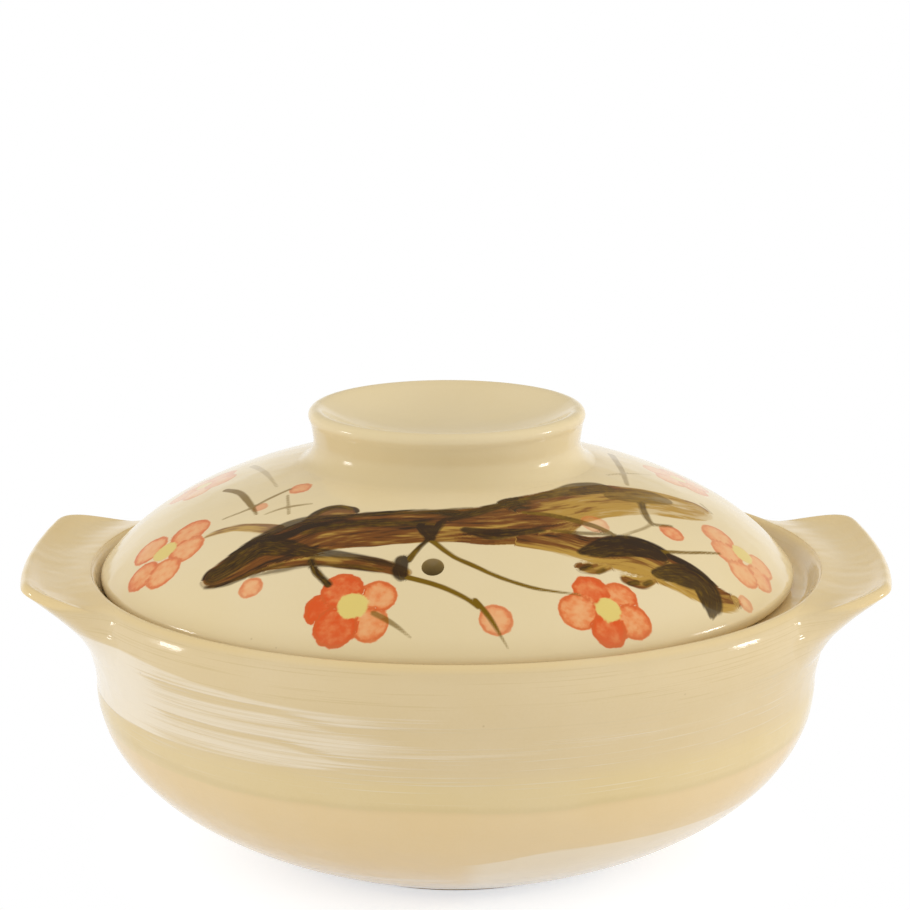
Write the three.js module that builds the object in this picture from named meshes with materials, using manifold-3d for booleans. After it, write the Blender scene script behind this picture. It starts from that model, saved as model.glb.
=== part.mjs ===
// Donabe: a lidded earthenware hot-pot for cooking over a flame and serving at the table.
// Six separately formed clay pieces: a bowl with a lid seat inside its rim, a foot ring, two lug
// handles luted to the wall, a domed lid with a steam hole, and the dished ring grip on its crown.
// Millimetres, +Z up. The origin is on the floor, on the bowl's axis. The lugs lie along X.

import * as THREE from 'three';
import { mergeVertices } from 'three/addons/utils/BufferGeometryUtils.js';
import Module from 'manifold-3d';

// Joints and facets
const slipJoint = 0.3; // slip line between two luted pieces
const restGap = 0.3; // lid to lid seat
const turnFacets = 56; // flats around a thrown piece
const holeFacets = 20; // flats around the steam hole
const lugFacets = 26; // flats along a lug
const longCurveFacets = 10; // flats in a large curve of a profile
const shortCurveFacets = 5; // flats in a small one
const halvings = 40; // steps of a search by halving

// Foot ring
const footRadius = 56;
const footWidth = 9;
const footHeight = 3;
const footTaper = 1; // how much narrower the ring is on the floor than under the base, each side

// Bowl, outside
const baseMargin = 6; // base beyond the foot ring
const bellyRadius = 124; // where the wall turns upright
const bellyHeight = 62;
const bellyTurn = 26; // height of the belly curve's handle: lower is fuller
const rimLean = 6; // how far the rim is out beyond the belly
const rimHeight = 100.3;
const rimRollWidth = 4.5; // rounding outside the crest of the rim
const rimRollHeight = 8;
const rimInnerRoll = 1.5; // rounding inside the crest

// Bowl, inside
const wall = 8;
const baseThickness = 9;
const seatDepth = 7; // rim top down to the ledge that carries the lid
const seatWidth = 13; // width of that ledge
const rimFlare = 3; // how far the rim leans out above the ledge
const seatEase = 1.2; // softened edges of the ledge

// Lug handles
const lugProjection = 17.5; // beyond the rim, at the middle of the lug
const lugEdgeGain = 4; // how much further out the edge is by the lug's shoulders
const lugShoulder = 18.5; // degrees from the middle to where the lug starts to sweep back to the wall
const lugSweep = 12; // degrees that the sweep takes
const lugEndShare = 0.84; // share of the sweep at which the lug is cut off
const lugTipThickness = 4.2;
const lugRise = 2.7; // tip top above the rim top
const lugRootDrop = 1; // top of the lug's root below the rim top
const lugEndDrop = 3; // how far the tip falls along the sweep
const lugRootHeight = 24; // height of wall that the lug covers
const lugEndHeight = 11; // the same at the lug's ends
const lugDish = 1.4; // hollow of the top face
const lugRootDepth = 12; // stock inside the rim line that the bowl cuts away

// Lid
const lidPlay = 3.65; // radial play of the lid inside the rim, at the ledge
const lidOffCentre = 0.84; // share of that play by which the lid sits to the left
const lidRise = 47.8; // lid foot to crown
const lidCrownWall = 6.5;
const lidRestWidth = 7; // flat that rests on the ledge
const lidEdgeRadius = 4;
const lidEdgeAngle = 38; // degrees above level where the dome leaves the rounded edge
const domeShoulder = 35; // curve handle at the edge: longer is fuller
const domeCrown = 45; // curve handle at the crown: longer is flatter

// Steam hole
const steamHoleDiameter = 7;
const steamHoleRadius = 90.3; // from the lid's axis
const steamHoleAngle = -92.7; // degrees: just left of the front

// Ring grip
const gripHeight = 13; // above the crown of the lid
const gripLipRadius = 47.3;
const gripLipFlare = 1.8; // lip beyond the neck
const gripLipRound = 2.8; // half the width of the lip's rounding
const gripLipHeight = 5.5; // depth of the rolled lip
const gripLipAngle = 125; // degrees over the lip, from outside, where the dish begins
const gripDishFloor = 2; // clay under the middle of the dish
const gripBaseFlare = 5.5; // foot of the grip beyond the neck
const gripFillet = 1.5; // height of the flare's curve handle above the dome

// Places worked out from the sizes above
const baseHeight = footHeight + slipJoint;
const baseRadius = footRadius + baseMargin;
const rimRadius = bellyRadius + rimLean;
const rimCrestRadius = rimRadius - rimRollWidth;
const rimInnerRadius = rimCrestRadius - rimInnerRoll;
const seatHeight = rimHeight - seatDepth;
const seatOuterRadius = rimInnerRadius - rimFlare;
const seatInnerRadius = seatOuterRadius - seatWidth;
const lidFootHeight = seatHeight + restGap;
const lidRadius = seatOuterRadius + rimFlare / 2 - lidPlay;
const lidShift = -lidPlay * lidOffCentre;
const crownHeight = lidFootHeight + lidRise;
const gripNeckRadius = gripLipRadius - gripLipFlare;

const vec2 = (x, y) => new THREE.Vector2(x, y);
const radians = THREE.MathUtils.degToRad;

function ellipse(centre, wide, high, from, to) {
  return new THREE.EllipseCurve(centre.x, centre.y, wide, high, from, to, to < from);
}

const wasm = await Module();
wasm.setup();

// A closed geometry as a manifold solid.
function solid(geometry) {
  const bare = geometry.clone();
  bare.deleteAttribute('normal');
  bare.deleteAttribute('uv');
  const merged = mergeVertices(bare, 1e-3);
  return new wasm.Manifold(new wasm.Mesh({
    numProp: 3,
    vertProperties: merged.attributes.position.array,
    triVerts: new Uint32Array(merged.index.array),
  }));
}

// A manifold solid back as a geometry.
function geometryOf(manifold) {
  const mesh = manifold.getMesh();
  const geometry = new THREE.BufferGeometry();
  geometry.setAttribute('position', new THREE.BufferAttribute(mesh.vertProperties, 3));
  geometry.setIndex(new THREE.BufferAttribute(mesh.triVerts, 1));
  geometry.computeVertexNormals();
  return geometry;
}

// A profile of (radius, height) points turned about the Z axis.
function turned(profile) {
  return new THREE.LatheGeometry(profile, turnFacets).rotateX(Math.PI / 2);
}

// The bowl's outside, from the edge of its base up to the crest of the rolled rim.
// The belly ends upright, and the wall above it leans out to the rim.
function bowlOutside() {
  const rollFoot = rimHeight - rimRollHeight;
  const third = (rollFoot - bellyHeight) / 3;
  const belly = new THREE.QuadraticBezierCurve(
    vec2(baseRadius, baseHeight),
    vec2(bellyRadius, bellyTurn),
    vec2(bellyRadius, bellyHeight),
  );
  const upright = new THREE.CubicBezierCurve(
    vec2(bellyRadius, bellyHeight),
    vec2(bellyRadius, bellyHeight + third),
    vec2(rimRadius, rollFoot - third),
    vec2(rimRadius, rollFoot),
  );
  const roll = ellipse(vec2(rimCrestRadius, rollFoot), rimRollWidth, rimRollHeight, 0, Math.PI / 2);
  return [
    ...belly.getPoints(longCurveFacets),
    ...upright.getPoints(shortCurveFacets).slice(1),
    ...roll.getPoints(shortCurveFacets).slice(1),
  ];
}

// The bowl's inside, from the crest of the rim over the lid seat and down to the axis.
function bowlInside() {
  const floor = baseHeight + baseThickness;
  const innerBelly = bellyRadius - wall;
  const innerBase = baseRadius - wall / 2;
  const rollCentre = vec2(rimCrestRadius, rimHeight - rimInnerRoll);
  const roll = ellipse(rollCentre, rimInnerRoll, rimInnerRoll, Math.PI / 2, Math.PI);
  const collar = new THREE.QuadraticBezierCurve(
    vec2(seatInnerRadius, seatHeight - seatEase),
    vec2(innerBelly, (seatHeight + bellyHeight) / 2),
    vec2(innerBelly, bellyHeight),
  );
  const hollow = new THREE.QuadraticBezierCurve(
    vec2(innerBelly, bellyHeight),
    vec2(innerBelly, bellyTurn + baseThickness),
    vec2(innerBase, floor),
  );
  return [
    ...roll.getPoints(shortCurveFacets).slice(1),
    vec2(seatOuterRadius, seatHeight + seatEase),
    vec2(seatOuterRadius - seatEase, seatHeight),
    vec2(seatInnerRadius + seatEase, seatHeight),
    ...collar.getPoints(shortCurveFacets),
    ...hollow.getPoints(longCurveFacets).slice(1),
    vec2(0, floor),
  ];
}

function potBody() {
  return turned([vec2(0, baseHeight), ...bowlOutside(), ...bowlInside()]);
}

// The bowl's outside grown by the slip joint, as a cutter for what is luted to the wall.
function bowlCutter() {
  const grown = bowlOutside().map((p) => vec2(p.x + slipJoint, p.y));
  const top = rimHeight + slipJoint;
  return solid(turned([vec2(0, 0), vec2(grown[0].x, 0), ...grown, vec2(0, top)]));
}

function footRing() {
  const inner = footRadius - footWidth;
  return turned([
    vec2(inner, footHeight),
    vec2(inner + footTaper, 0),
    vec2(footRadius - footTaper, 0),
    vec2(footRadius, footHeight),
    vec2(inner, footHeight),
  ]);
}

// One upright cut through the lug, as (radius, height), at an angle in degrees from its middle.
// The top is dished, the nose is round, and the underside sweeps down to the wall. All of it draws
// back into the wall as a smooth step along the sweep.
function lugSection(angle) {
  const drawn = THREE.MathUtils.smoothstep(Math.abs(angle), lugShoulder, lugShoulder + lugSweep);
  const full = 1 - drawn;
  const projection = full * (lugProjection + lugEdgeGain * (angle / lugShoulder) ** 2);
  const nose = (lugTipThickness / 4) * (1 + full);
  const noseRadius = rimRadius + projection - nose;
  const noseTop = rimHeight + lugRise * full - lugEndDrop * drawn;
  const rootRadius = rimRadius - lugRootDepth;
  const rootTop = rimHeight - lugRootDrop - lugEndDrop * drawn;
  const rootBottom = rootTop - THREE.MathUtils.lerp(lugEndHeight, lugRootHeight, full);
  const noseBottom = noseTop - 2 * nose;
  const top = new THREE.QuadraticBezierCurve(
    vec2(rootRadius, rootTop),
    vec2((rimRadius + noseRadius) / 2, rootTop - lugDish * full),
    vec2(noseRadius, noseTop),
  );
  const tip = ellipse(vec2(noseRadius, noseTop - nose), nose, nose, Math.PI / 2, -Math.PI / 2);
  const underside = new THREE.QuadraticBezierCurve(
    vec2(noseRadius, noseBottom),
    vec2(rimRadius, (noseBottom + rootBottom) / 2),
    vec2(rootRadius, rootBottom - lugRootDepth),
  );
  return [
    ...top.getPoints(shortCurveFacets),
    ...tip.getPoints(shortCurveFacets).slice(1),
    ...underside.getPoints(shortCurveFacets).slice(1),
  ];
}

// The lug's cuts lofted around the bowl and closed by a flat at each end, then trimmed to the bowl.
function lug() {
  const halfSpan = lugShoulder + lugSweep * lugEndShare;
  const sections = Array.from({ length: lugFacets + 1 }, (_, i) => {
    const angle = halfSpan * (2 * i / lugFacets - 1);
    const around = radians(angle);
    return lugSection(angle).map((p) => [p.x * Math.cos(around), p.x * Math.sin(around), p.y]);
  });
  const count = sections[0].length;
  const index = [];
  for (let i = 0; i < lugFacets; i++) {
    for (let j = 0; j < count; j++) {
      const a = i * count + j;
      const b = i * count + (j + 1) % count;
      index.push(a, b, a + count, b, b + count, a + count);
    }
  }
  const endOutline = lugSection(halfSpan);
  const last = lugFacets * count;
  for (const [p, q, r] of THREE.ShapeUtils.triangulateShape(endOutline, [])) {
    index.push(p, q, r, last + p, last + r, last + q);
  }
  const loft = new THREE.BufferGeometry();
  loft.setAttribute('position', new THREE.Float32BufferAttribute(sections.flat(2), 3));
  loft.setIndex(index);
  return geometryOf(solid(loft).subtract(bowlCutter()));
}

// The lid's top surface from the crown to the rounded edge, as (radius, height).
function domeCurve() {
  const angle = radians(lidEdgeAngle);
  const edgeX = lidRadius - lidEdgeRadius * (1 - Math.cos(angle));
  const edgeZ = lidFootHeight + lidEdgeRadius * (1 + Math.sin(angle));
  return new THREE.CubicBezierCurve(
    vec2(0, crownHeight),
    vec2(domeCrown, crownHeight),
    vec2(edgeX - domeShoulder * Math.sin(angle), edgeZ + domeShoulder * Math.cos(angle)),
    vec2(edgeX, edgeZ),
  );
}

// Height of the lid's top surface at a radius, found by halving along the dome curve.
function domeHeight(radius) {
  const dome = domeCurve();
  let low = 0;
  let high = 1;
  for (let i = 0; i < halvings; i++) {
    const middle = (low + high) / 2;
    if (dome.getPoint(middle).x < radius) low = middle;
    else high = middle;
  }
  return dome.getPoint(low).y;
}

// The lid's outline: dome, rounded edge, the flat that rests on the ledge, and the hollow underside,
// which is the dome drawn in to the rest's inner edge and lowered by the wall at the crown.
function lidOutline() {
  const dome = domeCurve();
  const edgeCentre = vec2(lidRadius - lidEdgeRadius, lidFootHeight + lidEdgeRadius);
  const edge = ellipse(edgeCentre, lidEdgeRadius, lidEdgeRadius, radians(lidEdgeAngle), -Math.PI / 2);
  const restInner = lidRadius - lidEdgeRadius - lidRestWidth;
  const end = dome.getPoint(1);
  const underCrown = crownHeight - lidCrownWall;
  const drawIn = restInner / end.x;
  const squash = (underCrown - lidFootHeight) / (crownHeight - end.y);
  const underside = dome.getPoints(longCurveFacets).reverse()
    .map((p) => vec2(p.x * drawIn, lidFootHeight + (p.y - end.y) * squash));
  const over = [...dome.getPoints(longCurveFacets), ...edge.getPoints(shortCurveFacets).slice(1)];
  return [...over, ...underside].reverse();
}

function lidShell() {
  const angle = radians(steamHoleAngle);
  const drillLength = 4 * lidRise; // well past both faces
  const drill = new THREE.CylinderGeometry(
    steamHoleDiameter / 2, steamHoleDiameter / 2, drillLength, holeFacets,
  ).rotateX(Math.PI / 2);
  drill.translate(steamHoleRadius * Math.cos(angle), steamHoleRadius * Math.sin(angle), crownHeight);
  return geometryOf(solid(turned(lidOutline())).subtract(solid(drill)));
}

// The grip: a short flared ring on the crown. Its foot follows the dome, its lip is rolled to hold it
// by, and inside the lip it is a shallow dish.
function ringGrip() {
  const top = crownHeight + gripHeight;
  const lipHalf = Math.min(gripLipHeight, gripHeight) / 2;
  const lipCentre = vec2(gripLipRadius - gripLipRound, top - lipHalf);
  const turn = radians(gripLipAngle);
  const lip = ellipse(lipCentre, gripLipRound, lipHalf, -Math.PI / 4, turn);
  const onDome = (radius) => vec2(radius, domeHeight(radius) + slipJoint);
  const neckFoot = onDome(gripNeckRadius);
  const flare = new THREE.QuadraticBezierCurve(
    onDome(gripNeckRadius + gripBaseFlare),
    vec2(gripNeckRadius, neckFoot.y + gripFillet),
    vec2(gripNeckRadius, (neckFoot.y + top - 2 * lipHalf) / 2),
  );
  const lipEnd = lip.getPoint(1);
  const dishFloor = crownHeight + slipJoint + gripDishFloor;
  const lipSlope = (lipHalf * Math.cos(turn)) / (-gripLipRound * Math.sin(turn));
  const dish = new THREE.QuadraticBezierCurve(
    lipEnd,
    vec2(lipEnd.x - (lipEnd.y - dishFloor) / lipSlope, dishFloor),
    vec2(0, dishFloor),
  );
  const seat = [0, gripNeckRadius / 2, gripNeckRadius].map(onDome);
  return turned([
    ...seat,
    ...flare.getPoints(shortCurveFacets),
    ...lip.getPoints(longCurveFacets),
    ...dish.getPoints(longCurveFacets).slice(1),
  ]);
}

function glaze(name, color, roughness) {
  return new THREE.MeshStandardMaterial({ name, color, roughness, metalness: 0 });
}

const creamGlaze = glaze('cream_glaze', 0xe4d2a8, 0.3);
const lidGlaze = glaze('lid_glaze', 0xe8d8b2, 0.25);
const bareClay = glaze('bare_clay', 0xcbb48c, 0.8);

function piece(name, geometry, material) {
  const mesh = new THREE.Mesh(geometry, material);
  mesh.name = name;
  return mesh;
}

const pot = new THREE.Group();
pot.add(piece('pot_body', potBody(), creamGlaze));
pot.add(piece('foot_ring', footRing(), bareClay));
pot.add(piece('lug_right', lug(), creamGlaze));
const leftLug = piece('lug_left', lug(), creamGlaze);
leftLug.rotation.z = Math.PI;
pot.add(leftLug);

const lid = new THREE.Group();
lid.position.x = lidShift;
lid.add(piece('lid_shell', lidShell(), lidGlaze));
lid.add(piece('lid_ring_grip', ringGrip(), lidGlaze));

const donabe = new THREE.Group();
donabe.name = 'donabe';
donabe.add(pot, lid);

export default donabe;
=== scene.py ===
"""Looks of a donabe, a lidded clay hot-pot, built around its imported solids.

Every piece is a numpy surface in millimetres, put into a mesh in metres in the frame's own axes:
+X runs through the lugs, -Y faces the camera, +Z is up and the floor is at 0.
"""

import math
from functools import reduce

import bpy
import numpy as np
from bpy.props import FloatProperty, FloatVectorProperty, PointerProperty
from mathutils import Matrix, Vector


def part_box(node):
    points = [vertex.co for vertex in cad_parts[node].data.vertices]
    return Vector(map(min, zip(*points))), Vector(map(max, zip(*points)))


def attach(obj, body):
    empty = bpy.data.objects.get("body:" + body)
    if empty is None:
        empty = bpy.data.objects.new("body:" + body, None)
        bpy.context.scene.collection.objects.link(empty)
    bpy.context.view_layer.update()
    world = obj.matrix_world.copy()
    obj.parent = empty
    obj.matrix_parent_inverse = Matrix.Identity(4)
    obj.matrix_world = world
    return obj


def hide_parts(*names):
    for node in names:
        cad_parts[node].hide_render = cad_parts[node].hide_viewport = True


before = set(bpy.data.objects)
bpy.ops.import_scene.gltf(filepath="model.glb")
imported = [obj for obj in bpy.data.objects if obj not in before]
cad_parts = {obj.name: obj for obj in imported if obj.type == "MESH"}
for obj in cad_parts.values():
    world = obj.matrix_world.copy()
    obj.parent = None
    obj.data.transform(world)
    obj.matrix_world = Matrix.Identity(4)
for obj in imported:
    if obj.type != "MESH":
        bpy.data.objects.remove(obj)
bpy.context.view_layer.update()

bl_info = {
    "name": "Donabe clay pot",
    "version": (1, 0, 0),
    "blender": (4, 5, 0),
    "location": "View3D > Sidebar > Donabe",
    "description": "Builds a lidded clay hot-pot with brushed slip and a painted plum branch",
    "category": "Object",
}

MM = 0.001

BOWL_LOW, BOWL_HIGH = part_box("pot_body")
FOOT_LOW, FOOT_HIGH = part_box("foot_ring")
LID_LOW, LID_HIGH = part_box("lid_shell")
_, GRIP_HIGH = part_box("lid_ring_grip")

# Bowl, in millimetres
ROLL_WIDTH = 4.5
ROLL_HEIGHT = 8.0
INNER_ROLL = 1.5
BASE_MARGIN = 6.0
BASE_EASE = 1.0
BELLY_TURN = 26.0
WALL = 8.0
BASE_THICKNESS = 9.0
SEAT_DEPTH = 7.0
SEAT_WIDTH = 13.0
SEAT_EASE = 1.2
RIM_FLARE = 3.0
RIM_EDGE = 3.5
BOWL_SPACING = 0.9
HOLLOW_SPACING = 2.4
BOWL_COLUMNS = 256

# Spacing of rows on flat and hidden faces, and how often corners are averaged
FLAT_SPACING = 4.0
CORNER_PASSES = 3

# Foot ring
FOOT_WIDTH = 9.0
FOOT_TAPER = 1.0
FOOT_SPACING = 0.4
FOOT_COLUMNS = 192

# Lugs: angles are degrees from a lug's middle
LUG_SHOULDER = 16.0
LUG_SWEEP = 17.0
LUG_UNDER_SHOULDER = 13.5
LUG_UNDER_SWEEP = 22.5
LUG_UNDER_POSTS = 4
LUG_EDGE_GAIN = 3.6
LUG_END_LIFT = 1.0
LUG_EDGE_TURN = 18.5
LUG_EDGE_WIDTH = 9.0
LUG_EDGE_HEIGHTS = (-4.0, 1.0)
LUG_NOSE = 2.1
LUG_COLUMNS = 150
LUG_PAIR = (("glazed_lug_right", "lug_right", 0.0), ("glazed_lug_left", "lug_left", math.pi))

# Posts of a lug's section, from the crest over the tip and back to the wall. A post has its full place, as
# (share of the nose's reach, more beyond the rim line) and (share of the rise, more above the rim's crest),
# and then its sunk place, as (beyond the rim line, above the rim's crest).
LUG_POSTS = np.array((
    ((0.0, -5.6), (0.0, -1.7), (-5.6, -1.7)),
    ((0.0, -4.9), (0.0, -0.25), (-4.5, -0.7)),
    ((0.0, -3.6), (0.0, 0.05), (-3.6, -0.8)),
    ((0.3, 0.0), (0.0, -0.45), (-2.6, -1.3)),
    ((0.7, 0.0), (0.24, 0.0), (-1.7, -2.4)),
    ((1.0, 0.0), (1.0, 0.0), (-0.9, -3.9)),
    ((1.0, LUG_NOSE), (1.0, -LUG_NOSE), (-0.4, -5.9)),
    ((1.0, -0.2), (1.0, -2 * LUG_NOSE), (-0.3, -8.0)),
    ((0.53, 0.0), (0.0, -8.2), (-0.4, -10.5)),
    ((0.1, 0.0), (0.0, -16.0), (-1.3, -16.0)),
    ((0.0, -3.0), (0.0, -23.5), (-3.4, -23.5)),
    ((0.0, -5.6), (0.0, -29.0), (-5.6, -29.0)),
))

# Lid
LID_EDGE = 4.0
LID_EDGE_ANGLE = 38.0
LID_EDGE_TINT = 6.0
LID_REST = 7.0
LID_CROWN_WALL = 6.5
DOME_SHOULDER = 35.0
DOME_CROWN = 45.0
DOME_HIDDEN = 44.0
DOME_HIDDEN_SPACING = 3.2
DOME_SPACING = 0.85
EDGE_SPACING = 0.8
UNDER_SPACING = 1.4
LID_COLUMNS = 480
LID_FRONT_CROWDING = 0.62

# Steam hole: its place, the block of lid faces that it is cut from, and its lip
HOLE_RADIUS = 90.3
HOLE_ANGLE = math.radians(-92.7)
HOLE_ZONE = (103.0, 78.0)
HOLE_ROWS = 8
HOLE_COLUMNS = 13
HOLE_STEPS = 6
HOLE_LIP = 0.5
HOLE_LIP_TURNS = np.radians((25, 50, 70, 90))
# Rows of the bore that take painted shade
HOLE_SHADED_ROWS = slice(8, 12)
HOLE_PAINTED = 9

# Ring grip
GRIP_FLARE = 1.8
GRIP_BASE_FLARE = 6.5
GRIP_LIP_DEPTH = 5.5
GRIP_LIP_ROUND = 2.8
GRIP_LIP_TURNS = (-45.0, 125.0)
GRIP_DISH_FLOOR = 2.3
GRIP_SEAT_STEPS = 12
GRIP_SEAT_SINK = 0.6
GRIP_SKIRT_SINK = 0.12
GRIP_SKIRT = (-2.5, -0.1)
GRIP_NECK_FOOT = (0.6, 0.8)
GRIP_SPACING = 0.45
GRIP_PASSES = 4
GRIP_DISH_SPACING = 1.2
GRIP_EDGE = 1.6
GRIP_COLUMNS = 224

# Painted shade round the grip's neck, in the thin glaze's colour, between distances from the neck, from the
# flare's edge and from the top. On the right it is gone by one neck radius.
GRIP_NECK_SHADE = 2.8
GRIP_SHADE_INSIDE = (-5.0, -2.0)
GRIP_SHADE_OUTSIDE = (-4.0, 0.0)
GRIP_SHADE_ABOVE = (-6.0, -4.0)
GRIP_SHADE_RIGHT = (0.25, 1.0)

# Unevenness of throwing: shares of its waves and rings, phases of the slow wave and of the beat, twist of the
# quicker wave, pitch and beat of the fine rings, and the radii between which it grows
THROWN_SHARES = (0.55, 0.35, 0.28)
THROWN_PHASES = (0.7, 0.5)
THROWN_TWIST = 23.0
THROWN_RING = 1.9
THROWN_BEAT = 7.3
THROWN_RADII = (15.0, 60.0)

# Painting on the lid. Places are millimetres from the lid's axis, seen from above.
FAR = 60.0
NO_STROKE = (FAR, 0.0, 0.0)
NO_PETAL = (FAR, 0.0, FAR)
UNPAINTED = (240.0, 240.0)
BARE_ROWS = 3
BRUSH_REACH = 8.0
STROKE_STEPS = 7
STROKE_SHIFT = 37.0
LEAST_HALF = 0.3
LINE_EASE = 0.45
TINY = 1e-9

# Broad washes of the bough: (strength, (tone at the start, at the end, gain to the far side), points),
# where a tone runs from 0, dark, over red-brown and ochre to 1, pale, and a point is (x, y, half width).
WASHES = (
    (1.0, (0.26, 0.44, -0.12), (
        (-74.5, -72, 4.4), (-71.5, -72.3, 6), (-66, -72, 7.6), (-59, -70.5, 9.6), (-50, -70.5, 10.6),
        (-41, -68.6, 10.6), (-31, -69.4, 9.6), (-20, -70.4, 9.4), (-8, -70.8, 9.2), (3, -70.4, 9.3),
        (14, -69.5, 10.8), (24, -66.5, 12), (33, -63.5, 9), (40, -60, 4))),
    (1.0, (0.55, 0.95, -0.2), (
        (24, -60, 8), (37, -53.5, 10), (45, -46.5, 10.6), (54, -40, 9.8), (62, -35, 9), (69, -31, 9),
        (78, -27, 8), (84, -23, 5.6))),
    (1.0, (0.45, 0.6, -0.3), (
        (24, -73, 6.5), (36, -73.5, 6.2), (44, -74.5, 6.4), (51, -73.5, 7.6), (59, -71, 9.4),
        (65, -70.5, 9.6), (70, -71, 8.4), (78, -71, 8), (83, -71.5, 6.6), (87, -71, 5.2), (92, -68, 2.8))),
    (1.0, (0.66, 0.5, 0.1), (
        (-60, -77, 2), (-51, -78.5, 2.8), (-41, -81, 2.2), (-30.5, -85, 2.4), (-22.5, -88, 2.4),
        (-17, -90.5, 2.2), (-13, -92.5, 1.6))),
    (0.95, (0.35, 0.45, 0.0), ((-44, -60, 2.4), (-38, -57, 3.6), (-32, -59, 2.8))),
    (0.85, (0.75, 0.6, 0.0), ((-79, -48.4, 0.2), (-72.5, -50, 1.2), (-66, -53, 1.9), (-55, -60, 2.4))),
    (1.0, (0.5, 0.7, 0.2), ((43, -84, 1.8), (47, -83, 2.4), (51, -80, 2))),
    (1.0, (0.5, 0.7, 0.2), ((57, -83, 1.8), (61.5, -82, 2.5), (65, -79, 2))),
    (0.95, (0.55, 0.7, 0.1), ((85, -74, 2.6), (89.5, -70, 3), (93.5, -66.5, 2))),
)

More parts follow.
